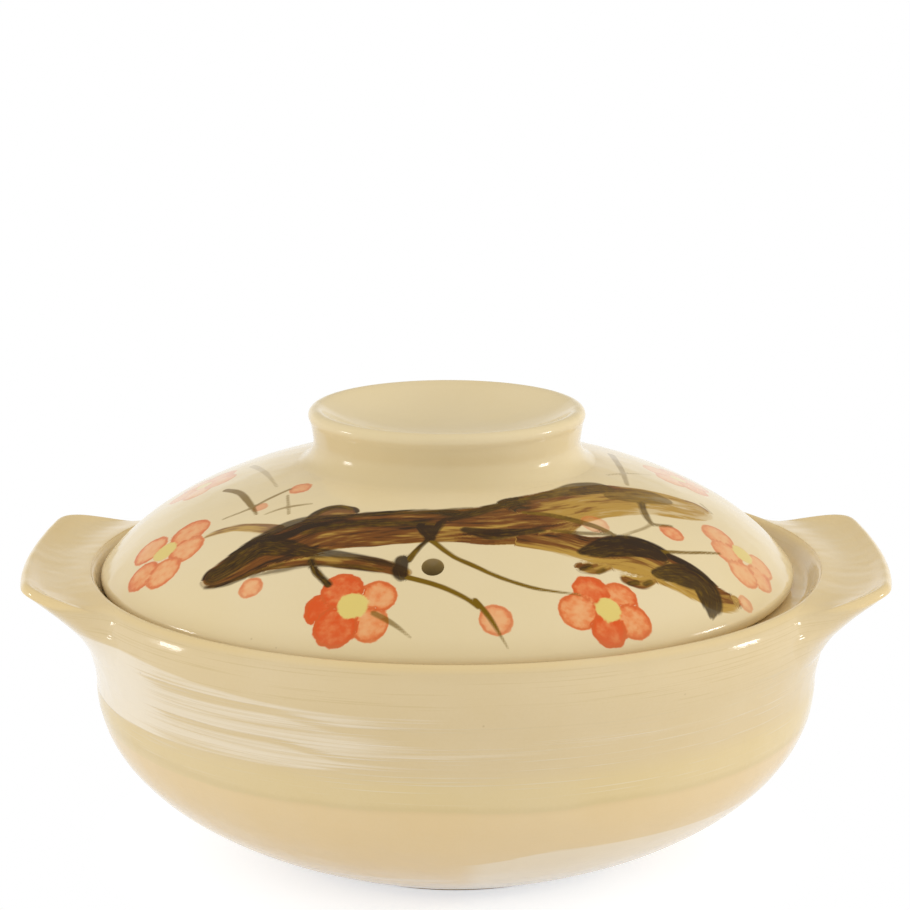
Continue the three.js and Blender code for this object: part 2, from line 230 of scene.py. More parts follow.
# Dark brush lines over it, in the same form, where a tone runs from 0, thin olive, to 1, near black.
INKS = (
    (0.86, (0.78, 0.95, 0.0), (
        (-74.5, -72, 3.2), (-70.5, -71.4, 4), (-65, -69, 4.4), (-59, -67.5, 4.8), (-52.5, -71, 3.8),
        (-43.5, -76.8, 2.2), (-34, -81, 1.6), (-25, -84.8, 1.2), (-17, -88.8, 0.8))),
    (0.95, (1.0, 1.0, 0.0), ((-66, -66, 1), (-61, -64, 2.2), (-55, -66.5, 2.2), (-49, -70, 1))),
    (0.75, (0.9, 0.7, 0.0), ((-77, -75, 0.8), (-70, -78, 1.1), (-62, -78.5, 0.7), (-52, -79, 0.4))),
    (0.85, (0.9, 0.75, 0.0), (
        (-62, -62, 1.4), (-50, -59, 2), (-40, -59.8, 1.6), (-30, -61.5, 1), (-15, -62.8, 0.7),
        (-2, -62, 0.5), (8, -60.5, 0.3))),
    (0.75, (0.8, 0.75, 0.0), ((-46, -66, 1), (-32, -66.5, 1.8), (-18, -68, 1.6), (-4, -70, 1))),
    (0.7, (0.8, 0.7, 0.0), (
        (-62, -79.5, 0.4), (-52, -81.5, 0.7), (-41, -83.5, 0.6), (-30, -87, 0.6), (-20, -90.5, 0.4))),
    (0.85, (0.8, 0.6, 0.0), ((-43.5, -58.5, 0.5), (-40, -55, 0.7), (-35, -54, 0.8), (-31, -57, 0.5))),
    (0.95, (1.0, 1.0, 0.0), ((-9, -69, 0.8), (-6.5, -73, 2.4), (-5, -77.5, 1.2))),
    (0.95, (1.0, 1.0, 0.0), ((-0.5, -67.5, 0.6), (-3.5, -72, 1.5), (-5, -77, 1))),
    (1.0, (0.8, 0.6, 0.0), ((-6, -78, 0.7), (-9, -82, 0.6), (-12, -87, 0.9))),
    (0.95, (1.0, 0.9, 0.0), ((-14, -87, 2), (-14.5, -91.5, 2.5), (-14, -94, 1.6))),
    (0.9, (1.0, 0.8, 0.0), ((6, -73, 1.2), (14, -74.5, 2.6), (22, -72.5, 1.9), (31, -69.5, 0.6))),
    (0.9, (0.95, 0.8, 0.0), ((1, -67, 1.2), (8, -63.5, 1.8), (16, -58.5, 1.5), (25, -53.5, 0.6))),
    (0.85, (0.75, 0.65, 0.0), (
        (24, -53, 0.6), (32, -47.5, 1.4), (38, -42.3, 2.6), (44, -37, 4), (50.5, -32.5, 3.6),
        (54, -32, 2.2))),
    (0.65, (0.6, 0.55, 0.0), ((54, -37.5, 2), (61, -32.5, 4.6), (68, -28, 4.8), (73, -26.5, 2.4))),
    (0.95, (0.9, 1.0, 0.0), (
        (43, -77, 1), (49, -73, 3.6), (57.4, -67.5, 5.4), (64, -65.5, 4.6), (69.5, -66.5, 1.8))),
    (0.92, (0.85, 0.95, 0.0), (
        (67.5, -75.5, 1.8), (75, -71, 4.8), (80, -69, 5.4), (83.5, -70.5, 5.2), (84.8, -74.5, 4.4),
        (84.3, -79.5, 0.8))),
    (0.85, (0.8, 0.7, 0.0), ((43, -84.5, 0.7), (45.5, -82.5, 0.8))),
    (0.8, (0.7, 0.7, 0.0), ((48, -84, 0.6), (50, -82, 0.6))),
    (0.85, (0.8, 0.7, 0.0), ((58, -84, 0.7), (60.5, -82.5, 0.8))),
    (0.8, (0.7, 0.7, 0.0), ((63, -82, 0.6), (65, -80, 0.6))),
    (0.85, (0.5, 0.6, 0.0), (
        (25, -60.5, 0.5), (34, -60, 1), (42, -60.8, 1.2), (50, -62, 1), (57, -65, 0.5))),
    (0.75, (0.6, 0.6, 0.0), ((34, -68.5, 0.5), (43, -67, 0.7), (54, -63, 0.4))),
    (1.0, (0.35, 0.25, 0.0), ((-13, -94, 0.8), (-2, -98, 0.7), (6, -102, 0.65), (10, -104.5, 0.7))),
    (1.0, (0.35, 0.4, 0.0), ((9, -102.5, 0.7), (14, -108, 0.5), (17, -112, 0.3), (19, -114.5, 0.15))),
    (1.0, (0.4, 0.25, 0.0), (
        (-4.5, -79, 0.8), (2, -86, 0.65), (10, -90.5, 0.6), (18, -94, 0.55), (29, -96, 0.4),
        (42, -94.5, 0.25))),
    (1.0, (0.85, 0.75, 0.0), ((-43, -81, 1), (-41, -87, 1.1), (-37, -92.5, 0.9))),
    (0.75, (0.4, 0.3, 0.0), ((-22.5, -105, 0.7), (-17, -108.5, 0.5), (-11, -113, 0.15))),
    (0.85, (0.7, 0.5, 0.0), ((64.5, -34, 1.1), (65, -43, 1.1), (67.5, -49, 0.6), (74, -45.5, 0.3))),
    (0.7, (0.3, 0.3, 0.0), ((57, -62, 0.2), (63, -55.5, 0.3), (67.5, -49, 0.4))),
    (0.9, (0.3, 0.2, 0.0), ((69, -64, 0.6), (79, -57.5, 0.5), (90, -48, 0.35))),
    (0.5, (0.3, 0.3, 0.0), ((86, -14, 0.4), (89.5, -19.5, 0.2))),
    (0.5, (0.3, 0.3, 0.0), ((57, 16, 1), (59.5, -7, 0.8), (60.5, -23, 0.4))),
    (0.4, (0.2, 0.2, 0.0), ((54, -18, 0.2), (61, -10, 0.3), (69.5, -2, 0.2))),
    (0.85, (0.2, 0.3, 0.0), ((-75, -14, 0.8), (-69.5, -23, 0.9), (-65, -37, 0.8), (-62.5, -46, 0.4))),
    (0.8, (0.3, 0.3, 0.0), ((-52, -33, 0.4), (-58.5, -36.5, 0.5), (-65, -40, 0.4), (-74, -41, 0.15))),
    (0.7, (0.2, 0.2, 0.0), ((-59.5, -48, 0.2), (-53, -47, 0.35), (-44, -48.5, 0.2))),
    (0.7, (0.2, 0.2, 0.0), ((-52.5, -38, 0.25), (-51.5, -52, 0.3))),
    (0.35, (0.2, 0.2, 0.0), ((-67.5, 10, 0.8), (-61.5, -9, 0.6), (-56.5, -28, 0.2))),
)

# Blossoms and buds: (strength, heart's (x, y, radius), petals' (x, y, radius, redness)), where a bud has
# no heart.
BLOSSOMS = (
    (1.0, (-29, -101.5, 5.4), (
        (-21.5, -100, 6.6, 0.35), (-24, -108, 6.6, 0.3), (-38.5, -100.5, 6.6, 1.0),
        (-34.5, -106.5, 7.8, 0.85), (-32.5, -96, 7.4, 0.75))),
    (1.0, (50.7, -96.3, 4.8), (
        (54.7, -91, 6.4, 0.45), (45.5, -92, 6.4, 0.7), (41.3, -100, 7, 0.35), (58.6, -96.6, 6.8, 0.4),
        (50.8, -102.2, 6.4, 0.85))),
    (0.9, (-93, -43.5, 5), (
        (-85, -40, 7.6, 0.35), (-85.5, -50, 7, 0.3), (-98.5, -36, 7.2, 0.25), (-100, -49, 6.8, 0.4),
        (-92.5, -55.5, 7.2, 0.3))),
    (0.75, (98, -39, 4.6), (
        (104, -38.5, 5.8, 0.15), (103, -46, 6, 0.25), (90, -37, 6.4, 0.3), (92.5, -44.5, 6.4, 0.35),
        (97.5, -50.5, 6.4, 0.25))),
    (0.55, (-84, 6, 3.4), (
        (-78.5, 10.5, 6, 0.4), (-86.5, 12.5, 5.8, 0.2), (-91, 5.5, 5.8, 0.3), (-85.5, -1, 5.8, 0.2),
        (-78, 2.5, 6, 0.4))),
    (0.55, (80, 9, 3.4), (
        (79, 16, 5.8, 0.4), (73, 10, 5.8, 0.2), (77, 2.5, 6, 0.3), (85, 4, 5.8, 0.4), (86, 12.5, 5.8, 0.2))),
    (0.85, None, ((-62, -84, 4.4, 0.2),)),
    (0.9, None, ((15.4, -107.8, 5.8, 0.2),)),
    (0.75, None, ((-48.5, -34.5, 4, 0.3),)),
    (0.85, None, ((73.7, -50, 4.4, 0.35),)),
    (0.6, None, ((-61.5, -41.5, 2.8, 0.3),)),
    (0.6, None, ((97, -64, 3.4, 0.3),)),
    (0.5, None, ((48, -60, 5, 0.2),)),
)

# Glaze. Heights are millimetres above the floor and turns are radians from the front to the right. A pair
# says where an effect begins and is full, or fades and is gone, four values say both, and three are the
# middle of a line and how far from it the line is full and gone. A cover is how strongly a coat shows, a sway
# or wave is how far noise moves an edge or a tone, a relief is a share of the skin's rolling, and a growth
# is a least value and its gain.
GLOSS_LEVEL = 0.22
GLAZE_IOR = 1.5
POT_ROLLING = 0.45
LID_ROLLING = 0.4
RIPPLE_RELIEF = 0.09
GRAIN_RELIEF = 0.008
GRAIN_SHARE = 0.2
ROUGHNESS_GROWTH = (0.05, 0.14)
POT_CLOUDS = (0.35, 0.7)
POT_CLOUDS_COVER = 0.12
LID_CLOUDS = (0.3, 0.75)
LID_CLOUDS_COVER = 0.15
POT_EDGE_COVER = 0.15
LID_EDGE_AND_NECK_SHADE_COVER = 0.12
SPECK_RARITY = (0.82, 0.86)
SPECK_SIZE = (0.02, 0.06)
POT_SPECK_COVER = 0.2
LID_SPECK_COVER = 0.18
BAND_WAVE = 5.0
WAIST_BEGINS = (50.5, 51.8)
WALL_BEGINS = (58.0, 66.0)
RIM_BEGINS = (83.0, 90.0)
RING = (51.6, 0.2, 2.4)
RING_TURN = (-0.9, -0.5)
RING_RISE = 2.5
RING_COVER = 0.22
LINE_HAIRS = (0.55, 0.68)
LINES_BEGIN = (54.0, 62.0)
LINES_COVER = 0.42
FAINT_HAIRS = (0.58, 0.7)
FAINT_HEIGHTS = (52.0, 58.0, 74.0, 84.0)
FAINT_COVER = 0.42
# Painted light: a lighter, warmer tan on level tops above these heights and on the lid seat inside this
# radius.
LIT_TOP_HEIGHTS = (97.5, 99.8)
LIT_SEAT_HEIGHTS = (85.0, 90.0)
LIT_SEAT_INSIDE = (120.5, 122.5)
TOP_LIGHT_COVER = 0.85

# White slip brushed round the wall, heavier by the left lug as a painted reflection of the left light, in the
# same form
WALL_BRUSH = (0.006, 0.006, 0.54)
SLIP_BEGINS = (-2.4, -1.6)
SLIP_REFLECTION_FADES = (-1.02, -0.78)
SLIP_REFLECTION_SHARE = 0.45
SLIP_ENDS = (-0.34, 0.06)
BACK_SLIP = (1.7, 2.3, 2.6, 3.1)
BACK_SLIP_LOAD = 0.7
SLIP_COVER_GROWTH = (0.46, 0.5)
SLIP_RELIEF = 0.2
HAIR_RELIEF = 0.06
SLIP_TOP = 83.4
SLIP_TOP_RISE = 5.6
SLIP_TOP_TURN = (-1.05, -0.2)
SLIP_TOP_FADE = (-0.4, 0.4)
SLIP_TOP_SWAY = 2.0
SLIP_LOW = 61.5
SLIP_LOW_RISE = 3.5
SLIP_LOW_FADE = (-0.6, 0.8)
SLIP_LOW_SWAY = 9.0
SLIP_LIFTS = (-0.5, -0.25)
SLIP_WET = (0.56, 0.98)
WET_BY_LOAD = 0.6
WET_IN_GAPS = -0.25
WET_SWAY = 0.8
GAP_DROP = 3.6
GAP_TURN = (-0.95, -0.8)
GAP_SWAY = 3.0
UPPER_GAP = (82.0, 0.5, 2.2)
LOWER_GAP = (71.4, 0.4, 1.8)
RIDGE = (-0.9, 0.3, 1.0)
RIDGE_LOAD = (0.03, 0.2)
RIDGE_STREAKS = (0.36, 0.5)
RIDGE_COVER = 0.85
TRAIL = (70.4, 0.2, 0.8)
TRAIL_SLOPE = 1.6
TRAIL_SWAY = 0.8
TRAIL_TURN = (-0.4, -0.2, 0.02, 0.3)
TRAIL_COVER = 0.6
# Painted reflections low on the belly, in the slip's white: a broad pale patch right of the front, and a thin
# sloping pale line left of it near the base.
PATCH_REFLECTION_TOP = 28.5
PATCH_REFLECTION_RISE = 5.5
PATCH_REFLECTION_RISES = (0.02, 0.3)
PATCH_REFLECTION_FADE = (-0.4, 0.5)
PATCH_REFLECTION_SWAY = 3.0
PATCH_REFLECTION_TURN = (0.0, 0.1, 0.75, 1.35)
LOW_REFLECTIONS_COVER = 0.72
BASE_REFLECTION = (18.5, 0.3, 1.6)
BASE_REFLECTION_SLOPE = 4.0
BASE_REFLECTION_TURN = (-0.52, -0.4, -0.12, 0.05)
BASE_REFLECTION_COVER = 0.7

# Pigments of the painting. A track scales the run along a stroke, the offset across it and its number into
# a place for the brush marks.
WASH_TRACK = (0.035, 0.24, 1.0)
WASH_FADE = (-0.5, 0.6)
WASH_EDGE_SWAY = 5.0
WASH_STREAK_SWAY = 1.7
WASH_HAIR_SWAY = 0.6
BROWN_BEGINS = (0.1, 0.45)
OCHRE_BEGINS = (0.42, 0.8)
PALE_BEGINS = (0.85, 1.2)
PALE_COVER = 0.6
PETAL_WAVE = 1.6
PETAL_LINE = (-0.6, 0.1, 0.9)
PETAL_LINE_COVER = 0.6
PETAL_POOL = (-3.2, -0.6)
PETAL_POOL_REDNESS = 0.3
PETAL_REDDENS = (0.1, 1.1)
PETAL_THICKENS = (0.1, 0.6)
PETAL_COVER_GROWTH = (0.8, 0.2)
PETAL_FADE = (-0.3, 0.3)
HEART_WAVE = 0.5
HEART_FADE = (0.85, 1.05)
HEART_COVER = 0.95
INK_TRACK = (0.06, 0.4, 1.0)
INK_FADE = (-1.0, 0.9)
INK_BITE_GROWTH = (0.3, 2.4)
INK_SOFTNESS_GROWTH = (0.25, 0.45)
INK_DARKENS = (0.35, 1.0)
INK_WAVE = 0.4
INK_HAIR_SWAY = 0.9
# Painted shade in the steam hole's bore
BORE_SHADE_COVER = 0.8

# Bare clay of the foot ring, where the grit's height is in millimetres
CLAY_MOTTLE = (0.35, 0.65)
CLAY_MOTTLE_COVER = 0.5
CLAY_GRIT = (0.6, 0.75)
CLAY_GRIT_COVER = 0.3
CLAY_GRIT_HEIGHT = 0.3
CLAY_GRIT_STRENGTH = 0.8
CLAY_ROUGHNESS = 0.85

# Studio
CAMERA_PLACE = (-0.00034, -1.0, 0.3641)
CAMERA_TILT = 77.21
CAMERA_LENS = 118.47
CAMERA_SENSOR = 36.0
LIGHT_DISTANCE = 1.6
LIGHT_AIM = Vector((0.0, 0.0, 0.08))
LIGHT_SIDE = 0.22
LIGHT_ELEVATION = 10.0
SOFTBOXES = (("left_softbox", -90.0, 3.0), ("right_softbox", 90.0, 5.2))
FLOOR_HALF = 2.5
FLOOR_FADE = (30.0, 130.0)
FLOOR_LIFT = 0.5
FLOOR_TINT = (0.97, 1.03, 1.12)
SKY_LEVEL = 0.95
SKY_DIM = 0.7
SKY_DIM_FROM = (0.05, 0.42)
WHITE = (1.0, 1.0, 1.0)


def srgb(red, green, blue):
    """Linear colour of an 8-bit display colour: the display curve undone channel by channel."""
    value = np.array((red, green, blue)) / 255.0
    return tuple(np.where(value <= 0.04045, value / 12.92, ((value + 0.055) / 1.055) ** 2.4))


def length(name, description, default, low=0.0):
    """A length property in metres."""
    return FloatProperty(name=name, description=description, default=default, min=low, precision=4,
                         subtype="DISTANCE", unit="LENGTH")


def tint(name, description, default):
    """A colour property, given as an 8-bit display colour."""
    return FloatVectorProperty(name=name, description=description, default=srgb(*default), size=3,
                               min=0.0, max=1.0, subtype="COLOR")


class DonabeSizes(bpy.types.PropertyGroup):
    """Sizes of the pot and its lid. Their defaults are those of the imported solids."""

    rim_radius: length("Rim radius", "Outside radius of the rim", BOWL_HIGH.y)
    rim_height: length("Rim height", "Floor to the crest of the rim", BOWL_HIGH.z)
    belly_radius: length("Belly radius", "Outside radius where the wall turns upright", 0.124)
    belly_height: length("Belly height", "Floor to where the wall turns upright", 0.062)
    base_height: length("Base height", "Floor to the underside of the bowl", BOWL_LOW.z)
    foot_radius: length("Foot radius", "Outside radius of the foot ring", FOOT_HIGH.y)
    lug_reach: length("Lug reach", "How far a lug stands out beyond the rim at its middle", 0.0175)
    lug_rise: length("Lug rise", "Lug tip above the crest of the rim", 0.0027)
    lid_radius: length("Lid radius", "Outside radius of the lid", (LID_HIGH.y - LID_LOW.y) / 2)
    lid_foot: length("Lid foot", "Floor to the lid's resting face", LID_LOW.z)
    lid_crown: length("Lid crown", "Floor to the top of the dome", LID_HIGH.z)
    lid_shift: length("Lid shift", "Lid's axis beside the bowl's", (LID_LOW.x + LID_HIGH.x) / 2, -0.01)
    hole_diameter: length("Steam hole", "Diameter of the steam hole", 0.007)
    grip_radius: length("Grip radius", "Outside radius of the grip's rolled lip", 0.0473)
    grip_top: length("Grip top", "Floor to the top of the ring grip", GRIP_HIGH.z)
    unevenness: length("Unevenness", "How far hand throwing leaves the clay from a true round", 0.00022)


class DonabeColours(bpy.types.PropertyGroup):
    """Colours of the glaze, slip, clay and painting."""

    cream: tint("Lid cream", "Glaze of the lid and grip", (226, 206, 161))
    rim_tan: tint("Rim tan", "Glaze near the rim, on the lugs and inside", (218, 196, 152))
    wall_tan: tint("Wall tan", "Glaze under the brushed slip", (216, 194, 150))
    waist_cream: tint("Waist cream", "Glaze below the brushed slip", (220, 198, 148))
    belly_peach: tint("Belly peach", "Glaze of the lower belly", (226, 200, 152))
    # White slip, and in the same colour painted reflections: heavier white by the left lug, a patch and a
    # line low on the belly.
    white_slip_and_reflection: tint("White slip", "Brushed white slip", (235, 222, 198))
    # Painted light: a lighter, warmer tan on level tops and the lid seat.
    painted_top_light: tint("Pooled glaze", "Glaze that pools on level tops and the lid seat", (230, 204, 150))
    # Thin glaze, and in the same colour painted shade round the grip's neck.
    thin_glaze_and_shade: tint("Thin glaze", "Glaze where it runs thin on edges and in rings", (200, 177, 126))
    bare_clay: tint("Bare clay", "Unglazed foot ring", (196, 168, 124))
    bark_dark: tint("Bark dark", "Darkest ink of the bough", (52, 35, 15))
    bark_brown: tint("Bark brown", "Red-brown wash of the bough", (118, 70, 24))
    bark_ochre: tint("Bark ochre", "Golden wash of the bough", (182, 142, 62))
    # Twig ink, and in the same colour painted shade in the steam hole's bore.
    twig_olive_and_shade: tint("Twig olive", "Thin ink of the twigs", (120, 90, 8))
    petal_red: tint("Petal red", "Strong petals", (216, 88, 36))
    petal_peach: tint("Petal peach", "Thin petals", (234, 158, 96))
    petal_line: tint("Petal line", "Drawn edge of a petal", (204, 98, 44))
    blossom_heart: tint("Blossom heart", "Yellow-green centre of a blossom", (222, 202, 116))
    floor: tint("Floor", "Studio floor", (250, 250, 250))


# Curves and grids


def bezier(*points, steps):
    """Bezier curve: neighbouring points are mixed by t, again and again, until one point is left."""
    t = np.linspace(0, 1, steps)[:, None]
    layer = [np.broadcast_to(np.asarray(p, float), (steps, 2)) for p in points]
    while len(layer) > 1:
        layer = [(1 - t) * a + t * b for a, b in zip(layer, layer[1:])]
    return layer[0]


def arc(centre, wide, high, start, stop, steps):
    """Part of an ellipse: centre plus (wide cos, high sin) of an angle from start to stop, in degrees."""
    angle = np.radians(np.linspace(start, stop, steps))
    return np.column_stack((centre[0] + wide * np.cos(angle), centre[1] + high * np.sin(angle)))


def run_of(profile):
    """Length walked along a profile up to each of its points."""
    return np.concatenate(([0.0], np.cumsum(np.hypot(*np.diff(profile, axis=0).T))))


def even(profile, spacing):
    """The same profile with points spaced evenly along it."""
    run = run_of(profile)
    at = np.linspace(0, run[-1], max(2, int(round(run[-1] / spacing)) + 1))
    return np.column_stack([np.interp(at, run, profile[:, k]) for k in range(2)])


def softened(profile, passes):
    """Corners rounded by averaging: each inner point moves to the mean of itself and its neighbours."""
    soft = profile.copy()
    for _ in range(passes):
        soft[1:-1] = (soft[:-2] + 2 * soft[1:-1] + soft[2:]) / 4
    return soft


def chain(*parts):
    """Profiles joined end to end, with the shared points kept once."""
    return np.vstack([parts[0]] + [part[1:] for part in parts[1:]])


def smoothstep(value, low, high):
    """0 below low, 1 above high, and 3t^2 - 2t^3 between them."""
    t = np.clip((value - low) / (high - low), 0, 1)
    return t * t * (3 - 2 * t)


def eased(value, low, high):
    """0 below low, 1 above high, and 10t^3 - 15t^4 + 6t^5 between them, which starts and ends very gently."""
    t = np.clip((value - low) / (high - low), 0, 1)
    return t ** 3 * (10 - 15 * t + 6 * t * t)


def throwing(angle, height, amount):
    """Unevenness of a hand-thrown wall: two slow waves around it and fine rings up it, each with a share."""
    broad, narrow, fine = THROWN_SHARES
    slow_phase, beat_phase = THROWN_PHASES
    slow = broad * np.sin(2 * angle + slow_phase) + narrow * np.sin(3 * angle - height / THROWN_TWIST)
    rings = fine * np.sin(height / THROWN_RING + angle) * np.sin(height / THROWN_BEAT + beat_phase)
    return amount * (slow + rings)


def once_round(columns):
    """Angles spaced evenly once round."""
    return np.linspace(0, 2 * np.pi, columns, endpoint=False)


def turned(profile, angles, amount):
    """Points of a profile (radius, height) turned about Z: (r cos a, r sin a, z), uneven by throwing."""
    radius, height = profile[:, :1], profile[:, 1:]
    wide = radius + throwing(angles, height, amount) * smoothstep(radius, *THROWN_RADII)
    tall = np.broadcast_to(height, wide.shape)
    return np.stack((wide * np.cos(angles), wide * np.sin(angles), tall), axis=2)


def numbered(grid, first=0):
    """Vertex numbers of a grid of points, row by row."""
    return first + np.arange(grid.shape[0] * grid.shape[1]).reshape(grid.shape[:2])


def quads(index, wrap_rows=False):
    """Faces of a grid of vertex numbers whose columns close on themselves, and its rows if asked."""
    after = np.roll(index, -1, axis=0) if wrap_rows else index[1:]
    here = index if wrap_rows else index[:-1]
    faces = (here, np.roll(here, -1, axis=1), np.roll(after, -1, axis=1), after)
    return np.stack(faces, axis=2).reshape(-1, 4)


def caps(index, first):
    """Fans that close a grid's first and last rows, to a hub vertex each, numbered from first."""
    loops = (index[0][::-1], index[-1])
    return [np.column_stack((loop, np.roll(loop, -1), np.full(len(loop), first + number)))
            for number, loop in enumerate(loops)]


def capped(grid, hubs):
    """A closed shell: a grid of points whose first and last rows each close on a hub."""
    index = numbered(grid)
    return np.vstack((grid.reshape(-1, 3), hubs)), [quads(index), *caps(index, index.size)]


def poles(profile):
    """Points on the axis where a profile starts and ends."""
    return np.array([(0.0, 0.0, height) for height in profile[[0, -1], 1]])


def lathe(profile, columns, amount):
    """A closed turned shell whose profile starts and ends on the axis, with one vertex at each pole."""
    return capped(turned(profile[1:-1], once_round(columns), amount), poles(profile))


def outward(points, faces):
    """Faces turned so that the shell's signed volume, the sum of a.(b x c) / 6, is positive."""
    volume = 0.0
    for block in faces:
        a, b, c, d = (points[block[:, corner]] for corner in (0, 1, 2, -1))
        volume += np.einsum("ij,ij->", a, np.cross(b, c) + np.cross(c, d))
    return faces if volume > 0 else [block[:, ::-1] for block in faces]


def put(name, data):
    """A new object in the scene that shows some data."""
    thing = bpy.data.objects.new(name, data)
    bpy.context.scene.collection.objects.link(thing)
    return thing


def make_piece(name, shell, material, body, node, fields=None):
    """A smooth mesh piece that rides on a body and stands for a node, which it hides.

    Points that no face uses are left out, and the faces are renumbered to match.
    """
    points, faces = shell
    used = np.unique(np.concatenate([block.ravel() for block in faces]))
    number = np.zeros(len(points), int)
    number[used] = np.arange(len(used))
    points = points[used]
    faces = outward(points, [number[block] for block in faces])
    mesh = bpy.data.meshes.new(name)
    mesh.from_pydata((points * MM).tolist(), [], [face for block in faces for face in block.tolist()])
    mesh.shade_smooth()
    for key, whole in (fields or {}).items():
        flat = whole.ndim == 1
        data = mesh.attributes.new(key, "FLOAT" if flat else "FLOAT_VECTOR", "POINT").data
        data.foreach_set("value" if flat else "vector", whole[used].astype(np.float32).ravel())
    mesh.materials.append(material)
    piece = put(name, mesh)
    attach(piece, body)
    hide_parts(node)


# Profiles


def millimetres(sizes, *names):
    """Named sizes as millimetres."""
    return [getattr(sizes, name) / MM for name in names]


def bowl_profile(sizes):
    """Bowl from its base's middle over the outside, rim, lid seat and hollow to its floor's middle.

    The belly is a quadratic curve, the upright a cubic one, the roll of the rim an ellipse, and the hollow
    two quadratic curves under the seat's quarter-round, slope and flat ledge.
    """
    rim, top, belly, waist, base, foot = millimetres(
        sizes, "rim_radius", "rim_height", "belly_radius", "belly_height", "base_height", "foot_radius")
    roll_foot = top - ROLL_HEIGHT
    third = (roll_foot - waist) / 3
    base_edge = (foot + BASE_MARGIN, base)
    outside = chain(
        bezier(base_edge, (belly, BELLY_TURN), (belly, waist), steps=200),
        bezier((belly, waist), (belly, waist + third), (rim, roll_foot - third), (rim, roll_foot), steps=80),
        arc((rim - ROLL_WIDTH, roll_foot), ROLL_WIDTH, ROLL_HEIGHT, 0, 90, steps=40),
    )
    crest = rim - ROLL_WIDTH
    seat = top - SEAT_DEPTH
    seat_outer = crest - INNER_ROLL - RIM_FLARE
    seat_inner = seat_outer - SEAT_WIDTH
    seat_end = (seat_inner, seat - SEAT_EASE)
    ledge = chain(
        arc((crest, top - INNER_ROLL), INNER_ROLL, INNER_ROLL, 90, 180, steps=24),
        np.array(((crest - INNER_ROLL, top - INNER_ROLL), (seat_outer, seat + SEAT_EASE),
                  (seat_outer - SEAT_EASE, seat), (seat_inner + SEAT_EASE, seat), seat_end)),
    )
    inner = belly - WALL
    floor = base + BASE_THICKNESS
    floor_edge = (foot + BASE_MARGIN - WALL / 2, floor)
    hollow = chain(
        bezier(seat_end, (inner, (seat + waist) / 2), (inner, waist), steps=60),
        bezier((inner, waist), (inner, BELLY_TURN + BASE_THICKNESS), floor_edge, steps=80),
    )
    under = np.array(((0.0, base), (base_edge[0] - BASE_EASE, base), base_edge))
    return chain(
        even(under, FLAT_SPACING), softened(even(chain(outside, ledge), BOWL_SPACING), CORNER_PASSES),
        even(hollow, HOLLOW_SPACING), even(np.array((floor_edge, (0.0, floor))), FLAT_SPACING),
    )


def foot_profile(sizes):
    """Closed section of the foot ring, tapered to the floor, with its corners rounded."""
    outer = sizes.foot_radius / MM
    inner = outer - FOOT_WIDTH
    top, floor = FOOT_HIGH.z / MM, FOOT_LOW.z / MM
    corners = np.array(((inner, top), (inner + FOOT_TAPER, floor), (outer - FOOT_TAPER, floor), (outer, top),
                        (inner, top)))
    return softened(even(corners, FOOT_SPACING), CORNER_PASSES)[:-1]


def lug_section(sizes, degrees):
    """Section points (radius, height) at each angle, as a spline through the lug's posts.

    A post moves from a sunk place just inside the wall to its full place by a gentle step of the angle, so
    that the top runs on from the crest and the sides grow out of the wall.
    """
    rim, top, reach, rise = millimetres(sizes, "rim_radius", "rim_height", "lug_reach", "lug_rise")
    upper = 1 - eased(np.abs(degrees), LUG_SHOULDER, LUG_SHOULDER + LUG_SWEEP)
    under = 1 - eased(np.abs(degrees), LUG_UNDER_SHOULDER, LUG_UNDER_SHOULDER + LUG_UNDER_SWEEP)
    bow = (degrees / LUG_EDGE_TURN) ** 2
    nose = reach + LUG_EDGE_GAIN * bow - LUG_NOSE
    lift = rise + LUG_END_LIFT * bow
    out, up, sunk = LUG_POSTS[:, :, None].swapaxes(0, 1)
    full = np.stack((out[..., 0] * nose + out[..., 1], up[..., 0] * lift + up[..., 1]), axis=2)
    is_under = np.arange(len(sunk))[:, None] >= len(sunk) - LUG_UNDER_POSTS
    share = np.where(is_under, under, upper)[..., None]
    posts = (rim, top) + sunk + share * (full - sunk)
    return smooth_path(posts.reshape(len(sunk), -1)).reshape(-1, len(degrees), 2)


def dome_profile(sizes):
    """Lid's top from crown to the lid's edge: a cubic curve, level at the crown, that meets the rounding."""
    radius, foot, crown = millimetres(sizes, "lid_radius", "lid_foot", "lid_crown")
    angle = math.radians(LID_EDGE_ANGLE)
    edge = np.array((radius - LID_EDGE * (1 - math.cos(angle)), foot + LID_EDGE * (1 + math.sin(angle))))
    handle = edge + DOME_SHOULDER * np.array((-math.sin(angle), math.cos(angle)))
    return bezier((0, crown), (DOME_CROWN, crown), handle, edge, steps=600)


def on_dome(dome, radius, above):
    """Points over the dome at one radius or several: (radius, the dome's height there plus above)."""
    return np.stack((radius, np.interp(radius, dome[:, 0], dome[:, 1]) + above), axis=-1)


